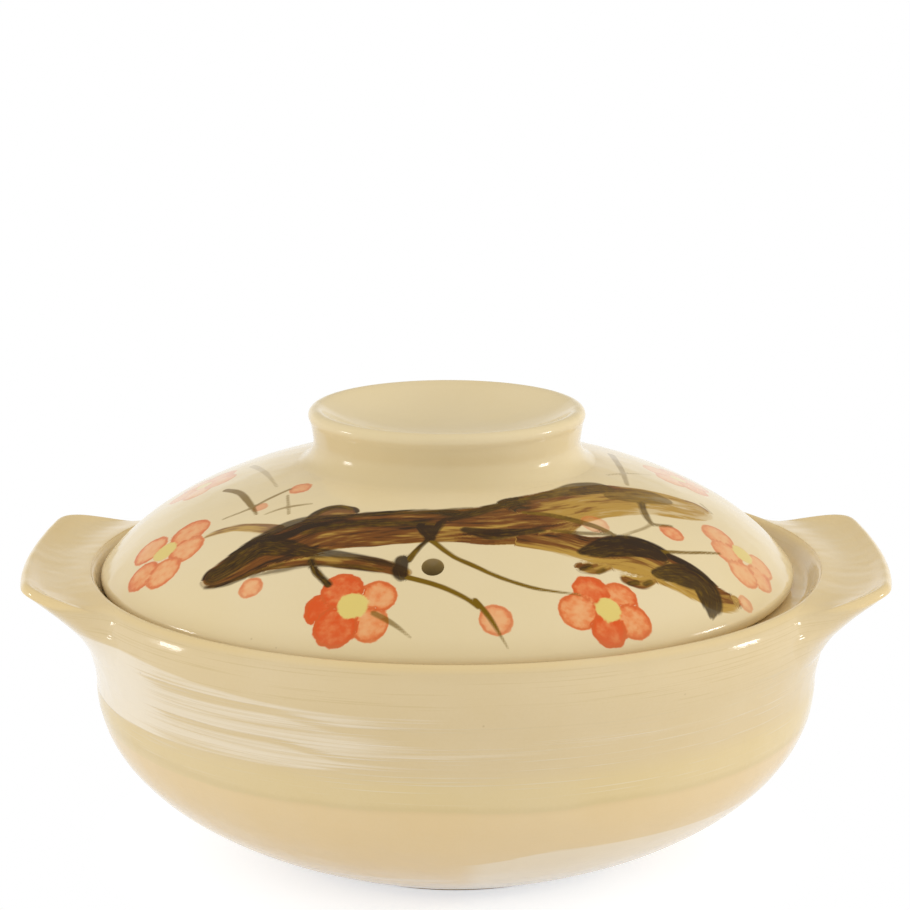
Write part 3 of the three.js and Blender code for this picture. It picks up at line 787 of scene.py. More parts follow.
def lid_profile(sizes, dome):
    """Lid's underside alone, the whole profile from crown to the underside's middle, and its rows outside.

    The underside is the dome drawn in to the resting face and squashed to leave the crown its thickness.
    """
    radius, foot, crown = millimetres(sizes, "lid_radius", "lid_foot", "lid_crown")
    under_edge = radius - LID_EDGE - LID_REST
    squash = (crown - LID_CROWN_WALL - foot) / (crown - dome[-1, 1])
    under = np.column_stack((dome[:, 0] * under_edge / dome[-1, 0],
                             foot + (dome[:, 1] - dome[-1, 1]) * squash))[::-1]
    split = np.searchsorted(dome[:, 0], DOME_HIDDEN)
    first, last = np.searchsorted(-under[:, 0], np.negative(HOLE_ZONE))
    edge = arc((radius - LID_EDGE, foot + LID_EDGE), LID_EDGE, LID_EDGE, LID_EDGE_ANGLE, -90, steps=40)
    outer = chain(even(dome[:split + 1], DOME_HIDDEN_SPACING), even(dome[split:], DOME_SPACING),
                  even(edge, EDGE_SPACING))
    inner = chain(even(np.array((outer[-1], (under_edge, foot))), UNDER_SPACING),
                  even(under[:first + 1], UNDER_SPACING), even(under[first:last + 1], DOME_SPACING),
                  even(under[last:], FLAT_SPACING))
    return under, chain(outer, inner), len(outer)


def grip_profile(sizes, neck, outer):
    """Grip from its seat's middle over the flare, neck and elliptic lip to the dish's middle."""
    lip_radius, top, crown = millimetres(sizes, "grip_radius", "grip_top", "lid_crown")
    dome = dome_profile(sizes)
    lip_half = GRIP_LIP_DEPTH / 2
    lip_centre = (lip_radius - GRIP_LIP_ROUND, top - lip_half)
    lip = arc(lip_centre, GRIP_LIP_ROUND, lip_half, *GRIP_LIP_TURNS, steps=90)
    waist = (on_dome(dome, neck, 0)[1] + top - GRIP_LIP_DEPTH) / 2
    floor = crown + GRIP_DISH_FLOOR
    run, fall = lip[-1] - lip[-2]
    skirt = on_dome(dome, outer, -GRIP_SKIRT_SINK)
    seat = np.vstack((on_dome(dome, np.linspace(0, outer, GRIP_SEAT_STEPS), -GRIP_SEAT_SINK), skirt))
    flare = bezier(skirt, on_dome(dome, outer + GRIP_SKIRT[0], GRIP_SKIRT[1]),
                   on_dome(dome, neck + GRIP_NECK_FOOT[0], GRIP_NECK_FOOT[1]), (neck, waist), steps=40)
    dish = bezier(lip[-1], (lip[-1, 0] + run * (floor - lip[-1, 1]) / fall, floor), (0, floor), steps=60)
    return chain(even(seat, FLAT_SPACING), softened(even(np.vstack((flare, lip)), GRIP_SPACING), GRIP_PASSES),
                 even(dish, GRIP_DISH_SPACING))


def steam_hole(grid, angles, radii, outer_rows, curves, bore):
    """Which faces of the lid's grid stay, the loops round the two gaps cut in it, and the tube between them.

    A block of faces is cut from the top and one from the underside. From each gap's edge the tube's rows run
    straight in to a quarter-round lip of radius HOLE_LIP, on the heights of the lid's own curve there.
    """
    index = numbered(grid)
    points = grid.reshape(-1, 3)
    hole = HOLE_RADIUS * np.array((math.cos(HOLE_ANGLE), math.sin(HOLE_ANGLE)))
    column = np.argmax(np.cos(angles - HOLE_ANGLE))
    columns = np.arange(column - HOLE_COLUMNS, column + HOLE_COLUMNS + 1) % LID_COLUMNS
    from_hole = np.abs(radii - HOLE_RADIUS)
    rows = (np.argmin(from_hole[:outer_rows]), outer_rows + np.argmin(from_hole[outer_rows:]))
    stays = np.ones(index[:-1].size, bool)
    loops = []
    for row, way in zip(rows, (1, -1)):
        stays[index[row - HOLE_ROWS:row + HOLE_ROWS, columns[:-1]]] = False
        block = index[row - HOLE_ROWS:row + HOLE_ROWS + 1, columns][::way]
        loops.append(np.concatenate((block[0, :-1], block[:-1, -1], block[-1, :0:-1], block[:0:-1, 0])))
    rays = points[loops[0], :2] - hole
    rays /= np.hypot(*rays.T)[:, None]
    lip = hole + rays * (bore + HOLE_LIP)
    bend = hole + rays * (bore + HOLE_LIP * (1 - np.sin(HOLE_LIP_TURNS)))[:, None, None]
    drop = np.concatenate((np.zeros(HOLE_STEPS), HOLE_LIP * (1 - np.cos(HOLE_LIP_TURNS))))[:, None]
    shares = np.linspace(0, 1, HOLE_STEPS + 1)[1:, None, None]
    bands = []
    for loop, curve, down in zip(loops, curves, (-1.0, 1.0)):
        edge = points[loop, :2]
        plan = np.concatenate((edge + shares * (lip - edge), bend))
        tall = np.interp(np.hypot(plan[..., 0], plan[..., 1]), curve[:, 0], curve[:, 1]) + down * drop
        bands.append(np.concatenate((plan, tall[..., None]), axis=2))
    return stays, loops, np.concatenate((bands[0], bands[1][::-1]))


# Painting


def smooth_path(points):
    """Catmull-Rom curve: each span is a cubic whose end slopes are half the step between its neighbours."""
    p = np.asarray(points, float)
    q = np.vstack((p[:1], p, p[-1:]))
    a, b, c, d = (part[:, None, :] for part in (q[:-3], q[1:-2], q[2:-1], q[3:]))
    t = np.linspace(0, 1, STROKE_STEPS, endpoint=False)[None, :, None]
    curve = b + t / 2 * ((c - a) + t * (2 * a - 5 * b + 4 * c - d) + t * t * (3 * b - a - 3 * c + d))
    return np.vstack((curve.reshape(-1, p.shape[1]), p[-1:]))


def spread(plan, dome):
    """Places seen from above moved out to their run along the dome, so that painting keeps its size."""
    away = np.hypot(plan[:, 0], plan[:, 1])
    return plan * (np.interp(away, dome[:, 0], run_of(dome)) / np.maximum(away, TINY))[:, None]


def stroke_field(places, path):
    """For each place: distance beyond the stroke's edge, run along its spine, and offset across it.

    The nearest point of each spine segment is its start plus the clipped share of the segment, and the
    distance from there less the half width is how far the place lies beyond the edge. The distance is
    rounded at the spine, as sqrt(d^2 + e^2) - e, so that a thin line runs on without breaks.
    """
    start, span = path[:-1, :2], np.diff(path[:, :2], axis=0)
    run = run_of(path[:, :2])
    rel = places[:, None, :] - start
    share = np.clip((rel * span).sum(2) / np.maximum((span ** 2).sum(1), TINY), 0, 1)
    gap = rel - share[..., None] * span
    distance = np.hypot(gap[..., 0], gap[..., 1])
    rounded = np.hypot(distance, LINE_EASE) - LINE_EASE
    beyond = rounded - path[:-1, 2] - share * np.diff(path[:, 2])
    side = np.sign(span[:, 0] * rel[..., 1] - span[:, 1] * rel[..., 0])
    pick = (np.arange(len(places)), beyond.argmin(1))
    along = run[pick[1]] + share[pick] * np.diff(run)[pick[1]]
    return beyond[pick], along, (distance * side)[pick]


def brush_layer(places, strokes, dome):
    """Edge distance, run along and offset across of the stroke that covers each place best, and its pigment.

    A stroke's tone goes evenly from its start to its end, and gains towards its far side in step with the
    offset across over the half width.
    """
    field = np.tile(NO_STROKE, (len(places), 1))
    pigment = np.zeros((len(places), 3))
    for number, (strength, (first, last, gain), points) in enumerate(strokes):
        path = smooth_path(points)
        path[:, :2] = spread(path[:, :2], dome)
        reach = BRUSH_REACH + path[:, 2].max()
        low, high = path[:, :2].min(0) - reach, path[:, :2].max(0) + reach
        near = np.all((places > low) & (places < high), axis=1)
        edge, along, across = stroke_field(places[near], path)
        better = edge < field[near, 0]
        rows = np.flatnonzero(near)[better]
        half = np.maximum(np.abs(across) - edge, LEAST_HALF)
        tone = first + (last - first) * along / along.max() + gain * np.clip(across / half, -1, 1)
        field[rows] = np.column_stack((edge, along + number * STROKE_SHIFT, across))[better]
        pigment[rows, 0] = tone[better]
        pigment[rows, 1:] = (strength, number)
    return field, pigment


def petal_layer(places, dome):
    """Edge distance, redness and distance from the heart of the petal painted last at each place.

    A petal is a disc beside the heart, and a later petal covers the earlier ones. The distance from the
    heart is in heart radii.
    """
    field = np.tile(NO_PETAL, (len(places), 1))
    strength = np.zeros(len(places))
    for body, heart, discs in BLOSSOMS:
        for x, y, radius, redness in discs:
            edge = np.hypot(*(places - spread(np.array([(x, y)]), dome)).T) - radius
            rows = np.flatnonzero((edge < 0) | (edge < np.minimum(field[:, 0], radius)))
            field[rows, 0] = edge[rows]
            field[rows, 1] = redness
            strength[rows] = body
        if heart:
            away = np.hypot(*(places - spread(np.array([heart[:2]]), dome)).T)
            field[:, 2] = np.minimum(field[:, 2], away / heart[2])
    return field, strength


# Materials


class Wiring:
    """Adds nodes to one tree and joins them. Its short forms return the new node's output."""

    def __init__(self, tree):
        self.tree = tree
        tree.nodes.clear()

    def feed(self, target, value):
        if isinstance(value, bpy.types.NodeSocket):
            self.tree.links.new(value, target)
        elif target.type == "RGBA" and len(value) == 3:
            target.default_value = (*value, 1.0)
        else:
            target.default_value = value

    def add(self, kind, inputs=None, **settings):
        node = self.tree.nodes.new("ShaderNode" + kind)
        for key, value in settings.items():
            setattr(node, key, value)
        for key, value in (inputs or {}).items():
            self.feed(node.inputs[key], value)
        return node

    def math(self, operation, *values, clamp=False):
        return self.add("Math", dict(enumerate(values)), operation=operation, use_clamp=clamp).outputs[0]

    def fold(self, operation, values):
        return reduce(lambda a, b: self.math(operation, a, b), values)

    def total(self, *values):
        return self.fold("ADD", values)

    def product(self, *values):
        return self.fold("MULTIPLY", values)

    def most(self, *values):
        return self.fold("MAXIMUM", values)

    def less(self, value, taken):
        return self.math("SUBTRACT", value, taken)

    def plus(self, base, value, amount):
        """A base plus an amount of a value."""
        return self.math("MULTIPLY_ADD", value, amount, base)

    def grow(self, value, least, gain):
        """A least amount, and a gain for each unit of a value."""
        return self.plus(least, value, gain)

    def sway(self, noise, amount):
        """A noise made to swing about 0, times an amount."""
        return self.plus(-amount / 2, noise, amount)

    def step(self, value, low, high):
        inputs = {"Value": value, "From Min": low, "From Max": high}
        return self.add("MapRange", inputs, interpolation_type="SMOOTHSTEP").outputs[0]

    def fall(self, value, low, high):
        return self.less(1.0, self.step(value, low, high))

    def window(self, value, begins, full, fades, gone):
        return self.product(self.step(value, begins, full), self.fall(value, fades, gone))

    def line(self, value, middle, full, gone):
        """1 where a value is within full of a middle, and 0 beyond gone."""
        return self.fall(self.math("ABSOLUTE", self.less(value, middle)), full, gone)

    def noise(self, vector, scale, detail=2.0, roughness=0.5, distortion=0.0):
        inputs = {"Vector": vector, "Scale": scale, "Detail": detail, "Roughness": roughness,
                  "Distortion": distortion}
        return self.add("TexNoise", inputs).outputs[0]

    def coat(self, under, over, *masks):
        """A colour laid over another by the product of its masks, on the Mix node's colour sockets."""
        inputs = {0: self.product(*masks), 6: under, 7: over}
        return self.add("Mix", inputs, data_type="RGBA").outputs[2]

    def coats(self, ground, *layers):
        """Layers of (colour, mask, more masks) laid over a ground in turn."""
        return reduce(lambda under, layer: self.coat(under, *layer), layers, ground)

    def split(self, vector):
        return self.add("SeparateXYZ", {0: vector}).outputs

    def stretch(self, vector, scale):
        return self.add("VectorMath", {0: vector, 1: scale}, operation="MULTIPLY").outputs[0]

    def attribute(self, name, output="Vector"):
        return self.add("Attribute", attribute_name=name).outputs[output]

    def place(self):
        """Object coordinates in millimetres."""
        return self.stretch(self.add("TexCoord").outputs["Object"], (1 / MM, 1 / MM, 1 / MM))

    def away(self, x, y):
        """Distance from the upright axis, sqrt(x^2 + y^2)."""
        return self.math("SQRT", self.total(self.product(x, x), self.product(y, y)))

    def direct(self):
        """1 for what the camera sees, straight, mirrored or through glass, and 0 for spread light."""
        seen = self.add("LightPath").outputs
        others = self.total(seen["Is Glossy Ray"], seen["Is Transmission Ray"])
        return self.math("ADD", seen["Is Camera Ray"], others, clamp=True)

    def surface(self, shader, kind="OutputMaterial"):
        self.feed(self.add(kind).inputs["Surface"], shader.outputs[0])


def shared(kind, name, build, *given):
    """The material or node group of a name, which is built when it is first asked for."""
    return kind.get(name) or build(name, *given)


def new_group(name, outputs):
    """An empty node group with one vector input and named value outputs."""
    tree = bpy.data.node_groups.new(name, "ShaderNodeTree")
    tree.interface.new_socket("Vector", in_out="INPUT", socket_type="NodeSocketVector")
    for key in outputs:
        tree.interface.new_socket(key, in_out="OUTPUT", socket_type="NodeSocketFloat")
    wires = Wiring(tree)
    source = tree.nodes.new("NodeGroupInput").outputs["Vector"]
    return tree, wires, source, tree.nodes.new("NodeGroupOutput").inputs


def glaze_skin(name):
    """Fired glaze: slow clouds of tone, small iron specks, gloss that varies, and a gently rolling skin."""
    tree, wires, place, sink = new_group(name, ("Tone", "Specks", "Roughness", "Height"))
    clouds = wires.noise(place, scale=0.022, detail=3.0)
    grain = wires.noise(place, scale=0.9, detail=2.0)
    cells = wires.add("TexVoronoi", {"Vector": place, "Scale": 0.11}).outputs
    rare = wires.step(wires.split(cells["Color"])[0], *SPECK_RARITY)
    rolling = wires.noise(place, scale=0.075, detail=1.0)
    ripple = wires.noise(place, scale=0.28, detail=1.0)
    relief = wires.plus(wires.plus(rolling, ripple, RIPPLE_RELIEF), grain, GRAIN_RELIEF)
    wires.feed(sink["Tone"], wires.plus(wires.product(clouds, 1 - GRAIN_SHARE), grain, GRAIN_SHARE))
    wires.feed(sink["Specks"], wires.product(wires.fall(cells["Distance"], *SPECK_SIZE), rare))
    wires.feed(sink["Roughness"], wires.grow(clouds, *ROUGHNESS_GROWTH))
    wires.feed(sink["Height"], relief)
    return tree


def brush_streaks(name):
    """Marks of a stiff brush: noise in broad bands and fine hairs, at a place scaled to stretch them."""
    tree, wires, place, sink = new_group(name, ("Streak", "Hair"))
    wires.feed(sink["Streak"], wires.noise(place, scale=1.0, detail=3.0, roughness=0.6, distortion=0.25))
    wires.feed(sink["Hair"], wires.noise(place, scale=3.1, detail=2.0, roughness=0.6))
    return tree


def new_material(name):
    """An empty material and the wiring of its tree."""
    material = bpy.data.materials.new(name)
    material.use_nodes = True
    return material, Wiring(material.node_tree)


def effect(wires, name, build, place):
    """Outputs of a shared node group at a place."""
    tree = shared(bpy.data.node_groups, name, build)
    return wires.add("Group", {"Vector": place}, node_tree=tree).outputs


def glazed(wires, colour, skin, relief, rolling):
    """Closes a material with a glossy shader over the colour, with the glaze's gloss and relief."""
    bump = wires.add("Bump", {"Height": relief, "Strength": 1.0, "Distance": rolling * MM})
    wires.surface(wires.add("BsdfPrincipled", {
        "Base Color": colour, "Roughness": skin["Roughness"], "Normal": bump.outputs[0],
        "IOR": GLAZE_IOR, "Specular IOR Level": GLOSS_LEVEL}))


def glaze_bands(wires, colours, level, around, hair):
    """Glaze up the wall: belly, waist, wall and rim in turn, with one thin ring and fine thrown lines."""
    raised = wires.plus(level, wires.fall(around, *RING_TURN), -RING_RISE)
    return wires.coats(
        colours.belly_peach,
        (colours.waist_cream, wires.step(level, *WAIST_BEGINS)),
        (colours.wall_tan, wires.step(level, *WALL_BEGINS)),
        (colours.rim_tan, wires.step(level, *RIM_BEGINS)),
        (colours.thin_glaze_and_shade, wires.line(raised, *RING), RING_COVER),
        (colours.thin_glaze_and_shade, wires.step(hair, *LINE_HAIRS), wires.step(level, *LINES_BEGIN), LINES_COVER),
    )


def slip_and_left_reflection(wires, height, around, streak, hair):
    """Mask and load of the brushed slip: heavy by the left lug, where its extra white is a painted reflection
    of the left light, thinner to the front, and some at the back.

    The brush leaves two gaps in the slip, a ridge along its top and a trail where it lifts off.
    """
    # The share that fades out between the left lug and the front is a painted reflection of the left light;
    # the rest is slip.
    left = wires.plus(wires.product(wires.fall(around, *SLIP_REFLECTION_FADES), SLIP_REFLECTION_SHARE),
                      wires.fall(around, *SLIP_ENDS), 1 - SLIP_REFLECTION_SHARE)
    back = wires.product(wires.window(around, *BACK_SLIP), BACK_SLIP_LOAD)
    load = wires.most(wires.product(wires.step(around, *SLIP_BEGINS), left), back)
    top = wires.plus(SLIP_TOP, wires.fall(around, *SLIP_TOP_TURN), SLIP_TOP_RISE)
    above = wires.total(wires.less(height, top), wires.sway(hair, SLIP_TOP_SWAY))
    lifting = wires.step(around, *SLIP_LIFTS)
    low = wires.plus(SLIP_LOW, lifting, SLIP_LOW_RISE)
    below = wires.total(wires.less(height, low), wires.sway(streak, SLIP_LOW_SWAY))
    band = wires.product(wires.fall(above, *SLIP_TOP_FADE), wires.step(below, *SLIP_LOW_FADE))
    sunk = wires.total(wires.plus(height, lifting, GAP_DROP), wires.sway(hair, GAP_SWAY))
    gap = wires.product(wires.most(wires.line(sunk, *UPPER_GAP), wires.line(sunk, *LOWER_GAP)),
                        wires.step(around, *GAP_TURN))
    wet = wires.total(wires.plus(streak, load, WET_BY_LOAD), wires.sway(hair, WET_SWAY),
                      wires.product(gap, WET_IN_GAPS))
    ridge = wires.product(wires.line(above, *RIDGE), wires.step(load, *RIDGE_LOAD),
                          wires.step(streak, *RIDGE_STREAKS), RIDGE_COVER)
    sloping = wires.total(wires.plus(height, around, -TRAIL_SLOPE), wires.sway(hair, TRAIL_SWAY))
    trail = wires.product(wires.line(sloping, *TRAIL), wires.window(around, *TRAIL_TURN), TRAIL_COVER)
    return wires.most(wires.product(wires.step(wet, *SLIP_WET), band), ridge, trail), load


def painted_low_reflections(wires, height, around, streak):
    """Mask of painted reflections low on the belly: a broad pale patch right of the front, and a sloping pale
    line left of it.
    """
    top = wires.plus(PATCH_REFLECTION_TOP, wires.step(around, *PATCH_REFLECTION_RISES), PATCH_REFLECTION_RISE)
    depth = wires.total(wires.less(top, height), wires.sway(streak, PATCH_REFLECTION_SWAY))
    patch_reflection = wires.product(wires.step(depth, *PATCH_REFLECTION_FADE), wires.window(around, *PATCH_REFLECTION_TURN))
    sloping = wires.plus(height, around, -BASE_REFLECTION_SLOPE)
    base_reflection = wires.product(wires.line(sloping, *BASE_REFLECTION), wires.window(around, *BASE_REFLECTION_TURN), BASE_REFLECTION_COVER)
    return wires.most(patch_reflection, base_reflection)


def pot_glaze(name, colours):
    """Cream glaze in bands up the wall, with white slip brushed round it and thin glaze on edges. The slip's
    white is heavier by the left lug as a painted reflection of the left light, painted reflections lie low on
    the belly, and painted light brightens level tops and the lid seat.
    """
    material, wires = new_material(name)
    place = wires.place()
    x, y, height = wires.split(place)
    around = wires.math("ARCTAN2", x, wires.product(y, -1.0))
    skin = effect(wires, "Glaze skin", glaze_skin, place)
    streak, hair = effect(wires, "Brush streaks", brush_streaks, wires.stretch(place, WALL_BRUSH))
    level = wires.total(height, wires.sway(skin["Tone"], BAND_WAVE))
    slip, load = slip_and_left_reflection(wires, height, around, streak, hair)
    faint = wires.product(wires.step(hair, *FAINT_HAIRS), wires.window(height, *FAINT_HEIGHTS))
    # Painted light on the lid seat and on level tops.
    seat = wires.product(wires.fall(wires.away(x, y), *LIT_SEAT_INSIDE), wires.step(height, *LIT_SEAT_HEIGHTS))
    colour = wires.coats(
        glaze_bands(wires, colours, level, around, hair),
        # Slip, heavier by the left lug as a painted reflection of the left light.
        (colours.white_slip_and_reflection, slip, wires.grow(load, *SLIP_COVER_GROWTH)),
        (colours.white_slip_and_reflection, faint, FAINT_COVER),
        # Painted reflections low on the belly.
        (colours.white_slip_and_reflection, painted_low_reflections(wires, height, around, streak), LOW_REFLECTIONS_COVER),
        # Painted light on level tops and the lid seat.
        (colours.painted_top_light, wires.most(wires.step(height, *LIT_TOP_HEIGHTS), seat), TOP_LIGHT_COVER),
        (colours.thin_glaze_and_shade, wires.attribute("edge", "Fac"), POT_EDGE_COVER),
        (colours.white_slip_and_reflection, wires.step(skin["Tone"], *POT_CLOUDS), POT_CLOUDS_COVER),
        (colours.bark_brown, skin["Specks"], POT_SPECK_COVER),
    )
    relief = wires.plus(wires.plus(skin["Height"], slip, SLIP_RELIEF), hair, HAIR_RELIEF)
    glazed(wires, colour, skin, relief, POT_ROLLING)
    return material


def stroke_marks(wires, layer, track):
    """A painted layer's edge distance, tone and strength, with brush marks that follow each stroke."""
    edge, along, across = wires.split(wires.attribute(layer))
    tone, strength, number = wires.split(wires.attribute(layer + "_pigment"))
    marks = wires.add("CombineXYZ", {"X": along, "Y": across, "Z": number}).outputs[0]
    streak, hair = effect(wires, "Brush streaks", brush_streaks, wires.stretch(marks, track))
    return edge, tone, strength, streak, hair


def bark_washes(wires, colours, colour):
    """Broad washes of the bough: ragged at the edge, and dark, red-brown, ochre or pale by their warmth."""
    edge, tone, strength, streak, hair = stroke_marks(wires, "wash", WASH_TRACK)
    warmth = wires.total(wires.sway(streak, WASH_STREAK_SWAY), wires.sway(hair, WASH_HAIR_SWAY), tone)
    bark = wires.coats(
        colours.bark_dark,
        (colours.bark_brown, wires.step(warmth, *BROWN_BEGINS)),
        (colours.bark_ochre, wires.step(warmth, *OCHRE_BEGINS)),
        (colours.cream, wires.step(warmth, *PALE_BEGINS), PALE_COVER),
    )
    ragged = wires.total(edge, wires.sway(streak, WASH_EDGE_SWAY))
    return wires.coat(colour, bark, wires.fall(ragged, *WASH_FADE), strength)


def petals(wires, colours, colour, soft):
    """Blossoms and buds: sheer petals, redder where pigment pools, with a drawn edge and a pale heart."""
    edge, redness, heart = wires.split(wires.attribute("petal"))
    wavy = wires.plus(edge, soft, PETAL_WAVE)
    pigment = wires.total(wires.plus(redness, wires.step(wavy, *PETAL_POOL), PETAL_POOL_REDNESS), soft)
    centre = wires.fall(wires.plus(heart, soft, HEART_WAVE), *HEART_FADE)
    petal = wires.coats(
        colours.petal_peach,
        (colours.petal_red, wires.step(pigment, *PETAL_REDDENS)),
        (colours.petal_line, wires.line(wavy, *PETAL_LINE), PETAL_LINE_COVER),
        (colours.blossom_heart, centre, HEART_COVER),
    )
    sheer = wires.grow(wires.step(pigment, *PETAL_THICKENS), *PETAL_COVER_GROWTH)
    painted = wires.product(wires.fall(wavy, *PETAL_FADE), sheer)
    return wires.coat(colour, petal, wires.most(painted, centre), wires.attribute("petal_body", "Fac"))


def ink_lines(wires, colours, colour, soft):
    """Dark brush lines: broken by the brush where they are dark, and olive where they are thin."""
    edge, tone, strength, streak, hair = stroke_marks(wires, "ink", INK_TRACK)
    bitten = wires.plus(edge, wires.sway(streak, 1.0), wires.grow(tone, *INK_BITE_GROWTH))
    cover = wires.fall(wires.math("DIVIDE", bitten, wires.grow(tone, *INK_SOFTNESS_GROWTH)), *INK_FADE)
    depth = wires.total(wires.plus(tone, soft, INK_WAVE), wires.sway(hair, INK_HAIR_SWAY))
    ink = wires.coat(colours.twig_olive_and_shade, colours.bark_dark, wires.step(depth, *INK_DARKENS))
    return wires.coat(colour, ink, cover, strength)


def lid_glaze(name, colours):
    """Cream glaze over a plum bough: washes, then petals, then dark ink, each cut out of its own field.
    Painted shade darkens the steam hole's bore and the grip's neck.
    """
    material, wires = new_material(name)
    place = wires.place()
    skin = effect(wires, "Glaze skin", glaze_skin, place)
    soft = wires.sway(wires.noise(place, scale=0.35, detail=2.0), 1.0)
    clouds = wires.step(skin["Tone"], *LID_CLOUDS)
    colour = wires.coat(colours.cream, colours.white_slip_and_reflection, clouds, LID_CLOUDS_COVER)
    colour = bark_washes(wires, colours, colour)
    colour = petals(wires, colours, colour, soft)
    colour = ink_lines(wires, colours, colour, soft)
    colour = wires.coats(
        colour,
        # Thin glaze on edges, and on the grip painted shade round the neck.
        (colours.thin_glaze_and_shade, wires.attribute("edge", "Fac"), LID_EDGE_AND_NECK_SHADE_COVER),
        # Painted shade in the steam hole's bore.
        (colours.twig_olive_and_shade, wires.attribute("bore_shade", "Fac"), BORE_SHADE_COVER),
        (colours.bark_brown, skin["Specks"], LID_SPECK_COVER),
    )
    glazed(wires, colour, skin, skin["Height"], LID_ROLLING)
    return material


def bare_clay(name, colours):
    """Unglazed fired clay: mottled, dull and gritty."""
    material, wires = new_material(name)
    place = wires.place()
    mottle = wires.noise(place, scale=0.12, detail=4.0)
    grit = wires.noise(place, scale=1.6, detail=3.0, roughness=0.7)
    colour = wires.coats(
        colours.bare_clay,
        (colours.thin_glaze_and_shade, wires.step(mottle, *CLAY_MOTTLE), CLAY_MOTTLE_COVER),
        (colours.bark_brown, wires.step(grit, *CLAY_GRIT), CLAY_GRIT_COVER),
    )
    bump = wires.add("Bump", {
        "Height": grit, "Strength": CLAY_GRIT_STRENGTH, "Distance": CLAY_GRIT_HEIGHT * MM})
    wires.surface(wires.add("BsdfPrincipled", {
        "Base Color": colour, "Roughness": CLAY_ROUGHNESS, "Normal": bump.outputs[0]}))
    return material


def finish(kind, build):
    """A piece's material in the scene's colours, built when it is first asked for."""
    return shared(bpy.data.materials, kind, build, bpy.context.scene.donabe_colours)


# Pieces


class DONABE_OT_bowl(bpy.types.Operator):
    """Turn the bowl: outside, rolled rim, lid seat, hollow and base as one closed profile"""

    bl_idname = "donabe.bowl"
    bl_label = "Bowl"

    def execute(self, context):
        sizes = context.scene.donabe_sizes
        points, faces = lathe(bowl_profile(sizes), BOWL_COLUMNS, sizes.unevenness / MM)
        crest = sizes.rim_height / MM
        fields = {"edge": smoothstep(points[:, 2], crest - RIM_EDGE, crest)}
        material = finish("pot_glaze_brushed", pot_glaze)
        make_piece("glazed_bowl", (points, faces), material, "pot", "pot_body", fields)
        return {"FINISHED"}


class DONABE_OT_foot_ring(bpy.types.Operator):
    """Turn the bare foot ring: a tapered section with rounded corners, turned about the axis"""

    bl_idname = "donabe.foot_ring"
    bl_label = "Foot ring"

    def execute(self, context):
        sizes = context.scene.donabe_sizes
        grid = turned(foot_profile(sizes), once_round(FOOT_COLUMNS), sizes.unevenness / MM)
        shell = grid.reshape(-1, 3), [quads(numbered(grid), wrap_rows=True)]
        make_piece("clay_foot_ring", shell, finish("bare_clay_gritty", bare_clay), "pot", "foot_ring")
        return {"FINISHED"}


class DONABE_OT_lugs(bpy.types.Operator):
    """Loft the two lugs: an upright section swept round the rim that sinks into the wall at its ends"""

    bl_idname = "donabe.lugs"
    bl_label = "Lugs"

    def execute(self, context):
        sizes = context.scene.donabe_sizes
        span = LUG_UNDER_SHOULDER + LUG_UNDER_SWEEP
        degrees = np.linspace(-span, span, LUG_COLUMNS)
        radius, height = np.moveaxis(lug_section(sizes, degrees), 2, 0)
        low, high = np.add(sizes.rim_height / MM, LUG_EDGE_HEIGHTS)
        edge = smoothstep(radius, radius.max() - LUG_EDGE_WIDTH, radius.max()) * smoothstep(height, low, high)
        fields = {"edge": np.append(edge.T.ravel(), (0.0, 0.0))}
        material = finish("pot_glaze_brushed", pot_glaze)
        for name, node, start in LUG_PAIR:
            angle = np.radians(degrees) + start
            uneven = radius + throwing(angle, height, sizes.unevenness / MM)
            rows = np.stack((uneven * np.cos(angle), uneven * np.sin(angle), height), axis=2)
            shell = capped(rows.swapaxes(0, 1), (rows[:, 0].mean(0), rows[:, -1].mean(0)))
            make_piece(name, shell, material, "pot", node, fields)
        return {"FINISHED"}


